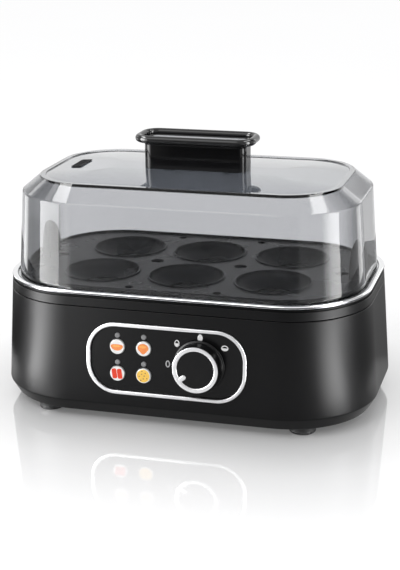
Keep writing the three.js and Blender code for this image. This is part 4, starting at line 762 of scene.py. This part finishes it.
def knob_body():
    """Knob: a skirt at the fascia, a slightly drafted drum and a face sunk inside the ring."""
    section = softened(
        [(13.0, -0.5), (15.2, -0.5), (15.2, 0.7), (14.15, 1.3), (13.65, 8.9), (13.2, 8.9), (13.2, 7.3),
         (10.95, 7.3), (10.95, 8.4), (3, 8.4)],
        [0, 0.3, 0.4, 0.5, 0.3, 0, 0, 0, 0.15, 0], steps=5, hold=0.15)
    return skin(turned(section, 96))


def knob_ring():
    """Ring on the knob's front: a flat band with rounded edges, turned."""
    section = softened([(10.95, 7.4), (13.65, 7.4), (13.65, 9.0), (10.95, 9.0)], [0, 0, 0.6, 0.6],
                       steps=5, hold=0.1, shut=True)
    return skin(turned(section, 96), ring_shut=True)


def knob_pointer():
    """Pointer: a bar with a round inner end, from 7.2 mm out to the ring, lying along its turn."""
    section = softened([(0, 8.0), (0, 9.0), (1.0, 9.0)], [0, 0.3, 0], steps=4, hold=0.05)
    bar = skin(carried((2.2, 1.4, 1.39), section, steps=10, hold=0.02))
    return moved(bar, Matrix.Rotation(POINTER_TURN, 4, "Z") @ shift(9.3, 0))


def push_button():
    """Button: a turned disc with a softly crowned white face and a guide rim behind the fascia."""
    section = softened(
        [(1.5, -5), (4.95, -4.1), (4.95, -3.2), (4.35, -3.2), (4.35, 0.0), (4.05, BUTTON_FACE),
         (0.6, BUTTON_FACE)],
        [0, 0, 0, 0, 0.15, 0.15, 0], steps=5, hold=0.1)
    return skin(turned(section, 64))


def lamp_lens():
    """Small lamp: a turned pin with a domed end."""
    dome = arc((0, -0.6), (1.5, 0.3), 0, 0.465, 8)
    return skin(turned(np.concatenate([[(1.5, -4)], dome]), 40))


def level(line, z):
    """Flat outline lifted to a height."""
    return np.concatenate([line, np.full((len(line), 1), z)], 1)


def patch(line, height=MARK_HEIGHT):
    """Thin raised patch over a closed outline: bottom loop, top loop, and flat ends."""
    return skin(np.stack([level(line, 0.0), level(line, height)]))


def band(outer, inner):
    """Thin raised band between two outlines of equal count: four loops shut into a ring."""
    loops = [level(outer, 0.0), level(outer, MARK_HEIGHT), level(inner, MARK_HEIGHT), level(inner, 0.0)]
    return skin(np.stack(loops), ring_shut=True)


def oval_at(angle, width, height, taper):
    """Points of a tapered oval at the given angles: an ellipse whose half width shrinks with height."""
    x = width / 2 * np.cos(angle) * (1 - taper * np.sin(angle))
    return np.stack([x, height / 2 * np.sin(angle)], 1)


def oval(width, height, taper=0.0, steps=40):
    """Closed outline of a tapered oval."""
    return oval_at(np.arange(steps) / steps * 2 * math.pi, width, height, taper)


def half_full(width, height, taper):
    """Sign of a half-filled oval: its outline as a band, and a patch over its lower half."""
    outline = band(oval(width, height, taper), oval(width - 2 * MARK_LINE, height - 2 * MARK_LINE, taper))
    lower = oval_at(np.linspace(math.pi, 2 * math.pi, 24), width - MARK_LINE, height - MARK_LINE, taper)
    return together([outline, patch(lower)])


def dash(width, height):
    """Short straight dash with rounded ends."""
    return patch(ring((width / 2, height / 2, min(width, height) / 2 * 0.98), 0, steps=5, hold=0.001)[0])


def panel_marks():
    """The three doneness signs round the knob, on the fascia's face: half full, full and half full."""
    signs = [(half_full(3.0, 4.1, 0.14), 6.5, 11.9), (patch(oval(3.0, 4.2, 0.1)), 20.3, 16.3),
             (half_full(4.2, 3.3, 0.06), 34.9, 11.3)]
    return together([moved(sign, shift(x, y)) for sign, x, y in signs])


def zero_mark():
    """The figure 0 with its dash towards the knob, and the tick between the knob and the middle sign."""
    figure = band(oval(2.7, 4.2), oval(1.4, 2.9))
    shapes = [figure, moved(dash(1.5, 0.55), shift(2.6, 0.1)), moved(dash(0.55, 1.2), shift(19.2, 13.3))]
    return moved(together(shapes), shift(1.1, -0.9))


def crescent():
    """Upper-left motif: a slice between a deep arc below and a shallow one above."""
    low = arc((0, 0.7), (3.7, 2.9), 1, 2, 22)
    high = arc((0, 0.7), (3.7, 0.9), 0, 1, 22)
    return np.concatenate([low, high[1:-1]])


def drop():
    """Upper-right motif: a drop, a circle that narrows and is drawn out below."""
    angle = np.arange(44) / 44 * 2 * math.pi
    below = np.clip(-np.sin(angle), 0, 1)
    x = 3.3 * np.cos(angle) * (1 - 0.28 * below ** 2)
    return np.stack([x, 2.7 * np.sin(angle) - 0.9 * below ** 4 + 0.4], 1)


def motifs():
    """The four buttons' generic motifs, as thin raised patches with their finishes. The specks stand on a
    spiral whose turns grow evenly and whose reach grows with the root of the count."""
    slab = patch(ring((1.45, 3.0, 0.9), 0, steps=6, hold=0.02)[0])
    lean = Matrix.Rotation(0.15, 4, "Z")
    count = np.arange(8)
    reach = 1.15 * np.sqrt(count + 0.3)
    speck = patch(oval(0.85, 0.65, steps=12), 0.03)
    specks = [moved(speck, shift(r * math.cos(t), r * math.sin(t), MARK_HEIGHT))
              for r, t in zip(reach, count * 2.4)]
    stripe = moved(patch(oval(5.0, 1.2), 0.06), shift(-0.3, 0.5))
    gleam = moved(patch(oval(4.2, 1.8), 0.06), shift(-0.2, 1.3))
    return [
        [(patch(crescent()), ORANGE), (stripe, AMBER)],
        [(patch(drop()), ORANGE), (gleam, AMBER)],
        [(moved(slab, shift(-1.6, 0) @ lean), RED), (moved(slab, shift(1.6, 0) @ lean), RED)],
        [(patch(oval(7.7, 7.7)), YELLOW), (together(specks), BROWN)],
    ]


# Feet and cord bushing


FOOT_PLACES = [(x, y) for y in (-57, 57) for x in (-77.5, 77.5)]


def rubber_foot():
    """Foot: a turned pad with rounded edges and a stem up into the base."""
    section = softened([(5.5, 0), (8, 0), (7.6, 4.5), (2.6, 4.5), (2.6, 7.9), (1, 7.9)],
                       [0, 1.3, 0.7, 0, 0.3, 0])
    return skin(turned(section, 56))


def cord_bushing():
    """Bushing in the rear wall: a turned flange and a tapered nose round an open bore."""
    section = softened(
        [(3.6, -7), (6, -7), (6, 0.3), (8.4, 0.3), (8.4, 2.1), (4.9, 5.1), (3.6, 5.1)],
        [0, 0.3, 0, 0.3, 0.6, 0.4, 0.4], steps=5, hold=0.15, shut=True)
    return skin(turned(section, 56), ring_shut=True)


# The pieces in their places

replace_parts(piece("housing", housing(), "body_shell", [SATIN]), "body_shell")
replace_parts(piece("upper_collar", collar(), "collar_ring", [SATIN]), "collar_ring")
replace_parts(piece("drawn_pan", pan(), "water_pan", [CHROME, STEEL, PAINTED_SHADE_STEEL],
                  choose=pan_finish), "water_pan")
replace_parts(piece("pocket_tray", pocket_tray(), "egg_tray", [TRAY_BLACK]), "egg_tray")
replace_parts(piece("clear_lid", clear_lid(), "lid_shell", [CLEAR, CLEAR_TOP],
                  choose=lid_finish), "lid_shell")
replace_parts(piece("vent_insert", vent_insert(), "steam_vent", [VENT_BLACK]), "steam_vent")
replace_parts(piece("handle_grip", handle_grip(), "lid_handle", [RIM_GLOSS, GLOSS],
                  choose=grip_finish), "lid_handle")
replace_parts(piece("inlay_plate", inlay_plate(), "handle_inlay", [INLAY]), "handle_inlay")
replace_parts(piece("bezel_frame", bezel_frame(), "panel_bezel", [SILVER], place=PANEL_PLACE),
            "panel_bezel")
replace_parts(piece("fascia_plate", fascia_plate(), "panel_fascia", [FASCIA_BLACK],
                  place=PANEL_PLACE), "panel_fascia")
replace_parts(piece("timer_knob", knob_body(), "knob_body", [KNOB_BLACK], place=knob_place()),
            "knob_body")
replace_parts(piece("timer_ring", knob_ring(), "knob_ring", [SILVER], place=knob_place()),
            "knob_ring")
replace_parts(piece("timer_pointer", knob_pointer(), "knob_pointer", [SILVER], place=knob_place()),
            "knob_pointer")
on_face = PANEL_PLACE @ shift(0, 0, FASCIA_Z)
piece("panel_marks", panel_marks(), "panel_fascia", [MARK], place=on_face)
piece("zero_mark", zero_mark(), "panel_fascia", [MARK_GREY], place=on_face)

for number, (centre, layers) in enumerate(zip(BUTTON_PLACES, motifs()), 1):
    spot = PANEL_PLACE @ shift(*centre)
    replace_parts(piece(f"push_button_{number}", push_button(), f"button_{number}", [WHITE],
                      place=spot), f"button_{number}")
    above = PANEL_PLACE @ shift(*centre, BUTTON_FACE)
    for layer, (shape, colour) in enumerate(layers, 1):
        piece(f"motif_{number}_{layer}", shape, f"button_{number}", [colour], place=above)
    lamp_at = spot @ shift(0, LAMP_RISE)
    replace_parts(piece(f"lamp_{number}", lamp_lens(), f"led_{number}", [LAMP], place=lamp_at),
                f"led_{number}")

for number, spot in enumerate(FOOT_PLACES, 1):
    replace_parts(piece(f"rubber_foot_{number}", rubber_foot(), f"foot_{number}", [RUBBER],
                      place=shift(*spot)), f"foot_{number}")
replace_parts(piece("cord_bushing", cord_bushing(), "cord_gland", [RUBBER], place=GLAND_PLACE),
            "cord_gland")

# Finishes of the nodes that keep their own shape, by their names without the number
KEPT = [
    (SILICONE, "pan_gasket lead_live lead_neutral"),
    (ALUMINIUM, "heat_spreader"),
    (CERAMIC, "terminal_block thermostat"),
    (HEATER, "heating_element"),
    (STEEL, "thermal_fuse heat_shield knob_shaft base_screw board_screw handle_screw"),
    (SATIN, "base_plate buzzer"),
    (BOARD, "control_board"),
    (GLOSS, "rotary_switch switch"),
]
finish_of = {stem: chosen for chosen, stems in KEPT for stem in stems.split()}
for name, thing in frame["nodes"].items():
    stem = name.rstrip("_0123456789")
    if stem in finish_of:
        for each in thing.material_slots:
            each.material = finish_of[stem]


# Floor, lamps and camera


# Strength of the world's light, where the eye sees it as 1
WORLD_LIGHT = 0.8
# The floor's half width, its mirror's index, the distances from the body over which it stops mirroring and
# over which its own white rises out of a painted shade at the body, and that white's two ends
FLOOR_REACH = 9.0
FLOOR_IOR = 3.5
MIRROR_FADE = 0.115
PAINTED_SHADE_FADE = 0.045
FLOOR_WHITE = (0.15, 0.31)
# The one lamp, above the front
KEY_PLACE = (-0.35, -0.75, 1.25)
KEY_AIM = (0, 0, 0.06)
KEY_SIZE = 0.9
KEY_POWER = 4.0
# Cards that show in gloss alone. Upright: name, azimuth, distance, width, height, radiance, the fades of
# the edges at the lower and the higher azimuth, and for those higher up the height of the lower edge,
# which is else just off the floor
CARD_LOW = 0.005
CARDS = [
    ("card_left", -55.5, 0.416, 0.236, 0.36, 17.0, (0.005, 0.02)),
    ("card_left_soft", -33.6, 0.401, 0.11, 0.36, 6.0, (0.01, 0.04)),
    ("card_left_back", -105, 0.40, 0.12, 0.12, 4.0, (0.03, 0.03)),
    ("card_right", 75.5, 0.408, 0.183, 0.36, 16.0, (0.10, 0.01)),
    ("card_right_back", 130, 0.37, 0.11, 0.12, 3.5, (0.02, 0.02)),
    ("card_front_dark", 6.3, 0.453, 0.52, 0.20, 0.1, (0.05, 0.05)),
    ("shoulder_dark_left", -104.5, 0.6, 0.12, 0.29, 0.02, (0.02, 0.01), 0.44),
    ("shoulder_light_left", -115.5, 0.6, 0.06, 0.17, 4.0, (0.01, 0.01), 0.33),
    ("shoulder_dark_right", 134.0, 0.6, 0.23, 0.47, 0.02, (0.02, 0.02), 0.40),
    ("shoulder_light_right", 152.5, 0.6, 0.13, 0.27, 2.8, (0.03, 0.02), 0.18),
]
# Overhead: name, lower corner, higher corner, radiance
OVERHEAD_Z = 0.6
OVERHEAD_FADES = (0.02, 0.02)
OVERHEAD = [
    ("overhead_left", (-0.44, -0.25), (-0.265, 0.15), 17.0),
    ("overhead_left_soft", (-0.54, -0.25), (-0.44, 0.15), 3.0),
    ("overhead_right", (0.235, -0.10), (0.35, 0.30), 14.0),
]
# Fans over the floor that the housing mirrors: name, side, azimuths about the corner, radiance, fades
FAN_REACH = (0.11, 0.42)
FAN_STEPS = 24
FAN_Z = 0.002
FANS = [
    ("fan_left", -1, (-66, -30), 27.0, (8, 22)),
    ("fan_left_soft", -1, (-44, -5), 4.5, (8, 34)),
    ("fan_left_dark", -1, (-160, -76), 0.03, (2, 8)),
    ("fan_right", 1, (44, 78), 29.5, (17, 9)),
    ("fan_right_dark", 1, (88, 178), 0.3, (8, 2)),
]
# The dim sheet that the foot mirrors, a painted shade under the body: height in millimetres, reach
# beyond the outline, and radiance. Its ends lie past half a turn either way, so that it glows all round
# and no edge of it fades
SHADE_Z = 2.5
SHADE_BEYOND = 24
SHADE_GLOW = 0.6
ALL_ROUND = (-4, 4)
ALL_ROUND_FADES = (0.1, 0.1)
# The camera's place, aim, roll and focal length in millimetres
EYE = (0.2238, -0.7733, 0.3179)
AIM = (0.000425, 0.0016, 0.0652)
ROLL = math.radians(-0.711)
LENS = 86.37


def shown(tree):
    """1 for rays from the eye, in gloss and through clear parts, and 0 for the light that falls on things."""
    rays = tree.nodes.new("ShaderNodeLightPath").outputs
    seen = maths(tree, "MAXIMUM", rays["Is Camera Ray"], rays["Is Glossy Ray"])
    return maths(tree, "MAXIMUM", seen, rays["Is Transmission Ray"])


def floor_finish():
    """White floor that mirrors the object at its foot. The mirroring fades and the white rises, each over
    its own distance from the body's outline: the length of |place| less the corner's centre, less its
    radius. The dimmer white at the body and under it is a painted shade."""
    made = finish("studio_floor", (0.84, 0.84, 0.845), (0.82, 0.82, 0.825), 0.5, 0.02, 60, 2, 0.0,
                  Specular_IOR_Level=0.0, Coat_Roughness=0.03, Coat_IOR=FLOOR_IOR, Emission_Strength=1.0)
    tree = made.node_tree
    shader = tree.nodes["Principled BSDF"]
    place = tree.nodes.new("ShaderNodeTexCoord").outputs["Object"]
    corner = ((BODY[0] - BODY[2]) * MM, (BODY[1] - BODY[2]) * MM, 0)
    for operation, *other in (("ABSOLUTE",), ("SUBTRACT", corner), ("MAXIMUM", (0, 0, 0)), ("LENGTH",)):
        place = maths(tree, operation, place, *other, vector=True)
    edge = BODY[2] * MM
    tree.links.new(ranged(tree, place, edge, edge + MIRROR_FADE, 1.0, 0.0), shader.inputs["Coat Weight"])
    # The floor's own white, dimmed at the body and under it as a painted shade
    white = maths(tree, "MULTIPLY", ranged(tree, place, edge, edge + PAINTED_SHADE_FADE, *FLOOR_WHITE), shown(tree))
    tree.links.new(white, shader.inputs["Emission Color"])
    return made


def studio_world():
    """Even white world: full white to the eye, in gloss and through clear parts, and dimmer as light."""
    world = bpy.data.worlds.new("studio_world")
    world.use_nodes = True
    tree = world.node_tree
    background = tree.nodes["Background"]
    background.inputs["Color"].default_value = (1, 1, 1, 1)
    tree.links.new(ranged(tree, shown(tree), 0.0, 1.0, WORLD_LIGHT, 1.0), background.inputs["Strength"])
    bpy.context.scene.world = world


def glow(name, radiance, ends, fades, fan=False):
    """Glow of a card: even, and let go to nothing over the fades at its two edges. A card is measured
    along its width, and a fan by the angle about its point, and a fan shows from above alone."""
    made = bpy.data.materials.new(name)
    made.use_nodes = True
    tree = made.node_tree
    tree.nodes.remove(tree.nodes["Principled BSDF"])
    place = tree.nodes.new("ShaderNodeSeparateXYZ")
    tree.links.new(tree.nodes.new("ShaderNodeTexCoord").outputs["Object"], place.inputs[0])
    across = place.outputs["X"]
    if fan:
        across = maths(tree, "ARCTAN2", across, maths(tree, "MULTIPLY", place.outputs["Y"], -1.0))
    share = maths(tree, "MULTIPLY", ranged(tree, across, ends[0], ends[0] + fades[0], 0.0, 1.0),
                  ranged(tree, across, ends[1], ends[1] - fades[1], 0.0, 1.0))
    if fan:
        under = tree.nodes.new("ShaderNodeNewGeometry").outputs["Backfacing"]
        share = maths(tree, "MULTIPLY", share, ranged(tree, under, 0.0, 1.0, 1.0, 0.0))
    light = tree.nodes.new("ShaderNodeEmission")
    light.inputs["Strength"].default_value = radiance
    mixed = tree.nodes.new("ShaderNodeMixShader")
    tree.links.new(share, mixed.inputs[0])
    tree.links.new(tree.nodes.new("ShaderNodeBsdfTransparent").outputs[0], mixed.inputs[1])
    tree.links.new(light.outputs[0], mixed.inputs[2])
    tree.links.new(mixed.outputs[0], tree.nodes["Material Output"].inputs["Surface"])
    return made


def oblong(half_x, half_y, faces=((0, 1, 2, 3),)):
    """Flat oblong about its middle."""
    sides = [(-1, -1, 0), (1, -1, 0), (1, 1, 0), (-1, 1, 0)]
    return np.array(sides) * (half_x, half_y, 1), faces


def staged(name, shape, chosen, gloss_alone=True):
    """A flat thing of the studio with one finish. A card shows in reflections and nowhere else."""
    mesh = mesh_of(shape, name)
    mesh.materials.append(chosen)
    thing = linked(name, mesh)
    if gloss_alone:
        for ray in ("camera", "diffuse", "transmission", "shadow", "volume_scatter"):
            setattr(thing, "visible_" + ray, False)
    return thing


def upright_card(name, azimuth, away, width, height, radiance, fades, low=CARD_LOW):
    """Upright card at an azimuth from the front and a distance, facing the object's middle line."""
    half = width / 2
    card = staged(name, oblong(half, height / 2), glow(name, radiance, (-half, half), fades))
    turn = math.radians(azimuth)
    middle = low + height / 2
    card.location = (away * math.sin(turn), -away * math.cos(turn), middle)
    inward = Vector((0, 0, middle)) - card.location
    card.rotation_euler = inward.to_track_quat("-Z", "Y").to_euler()


def level_card(name, low, high, radiance):
    """Level card overhead, between two corners, that faces down."""
    half_x, half_y = [(b - a) / 2 for a, b in zip(low, high)]
    card = staged(name, oblong(half_x, half_y, [(0, 3, 2, 1)]),
                  glow(name, radiance, (-half_x, half_x), OVERHEAD_FADES))
    card.location = (low[0] + half_x, low[1] + half_y, OVERHEAD_Z)


def floor_fan(name, side, azimuths, radiance, fades):
    """Fan lying just over the floor, its point under a front corner's centre: a polar grid of two rings."""
    ends = np.radians(azimuths)
    angle = np.linspace(ends[0], ends[1], FAN_STEPS + 1)
    reach = np.array(FAN_REACH)[:, None]
    flat = np.stack([reach * np.sin(angle), -reach * np.cos(angle), reach * 0 * angle], -1).reshape(-1, 3)
    k = np.arange(FAN_STEPS)
    faces = np.stack([k, k + FAN_STEPS + 1, k + FAN_STEPS + 2, k + 1], -1).tolist()
    card = staged(name, (flat, faces), glow(name, radiance, ends.tolist(), np.radians(fades).tolist(), True))
    card.location = (side * (BODY[0] - BODY[2]) * MM, (BODY_Y - BODY[1] + BODY[2]) * MM, FAN_Z)


def painted_foot_shade():
    """Even dim sheet just over the floor, under the body and a little beyond its outline: painted shade."""
    points = level(ring(BODY, -SHADE_BEYOND)[0] + (0, BODY_Y), SHADE_Z) * MM
    staged("painted_foot_shade", (points, [list(range(len(points)))]),
           glow("painted_foot_shade", SHADE_GLOW, ALL_ROUND, ALL_ROUND_FADES, True))


def studio():
    """A wide pale floor, the white world, one soft lamp above the front, the cards and the painted shade."""
    staged("studio_floor", oblong(FLOOR_REACH, FLOOR_REACH), floor_finish(), gloss_alone=False)
    studio_world()
    key = bpy.data.lights.new("key", "AREA")
    key.shape = "DISK"
    key.size = KEY_SIZE
    key.energy = KEY_POWER
    lamp = linked("key", key)
    lamp.location = KEY_PLACE
    lamp.rotation_euler = (Vector(KEY_AIM) - lamp.location).to_track_quat("-Z", "Y").to_euler()
    lamp.visible_camera = False
    for each in CARDS:
        upright_card(*each)
    for each in OVERHEAD:
        level_card(*each)
    for each in FANS:
        floor_fan(*each)
    painted_foot_shade()


def camera():
    """Camera at the photograph's angle: at 16 degrees to the right and 17 above, rolled by under a degree."""
    eye = Vector(EYE)
    ahead = (Vector(AIM) - eye).normalized()
    right = ahead.cross(Vector((0, 0, 1))).normalized()
    up = right.cross(ahead)
    side = right * math.cos(ROLL) + up * math.sin(ROLL)
    head = up * math.cos(ROLL) - right * math.sin(ROLL)
    data = bpy.data.cameras.new("camera")
    data.lens = LENS
    data.sensor_width = 36
    data.sensor_fit = "AUTO"
    made = linked("camera", data)
    turn = Matrix((side, head, -ahead)).transposed().to_4x4()
    made.matrix_world = Matrix.Translation(eye) @ turn
    bpy.context.scene.camera = made


studio()
camera()
bpy.context.scene.view_settings.view_transform = "Standard"
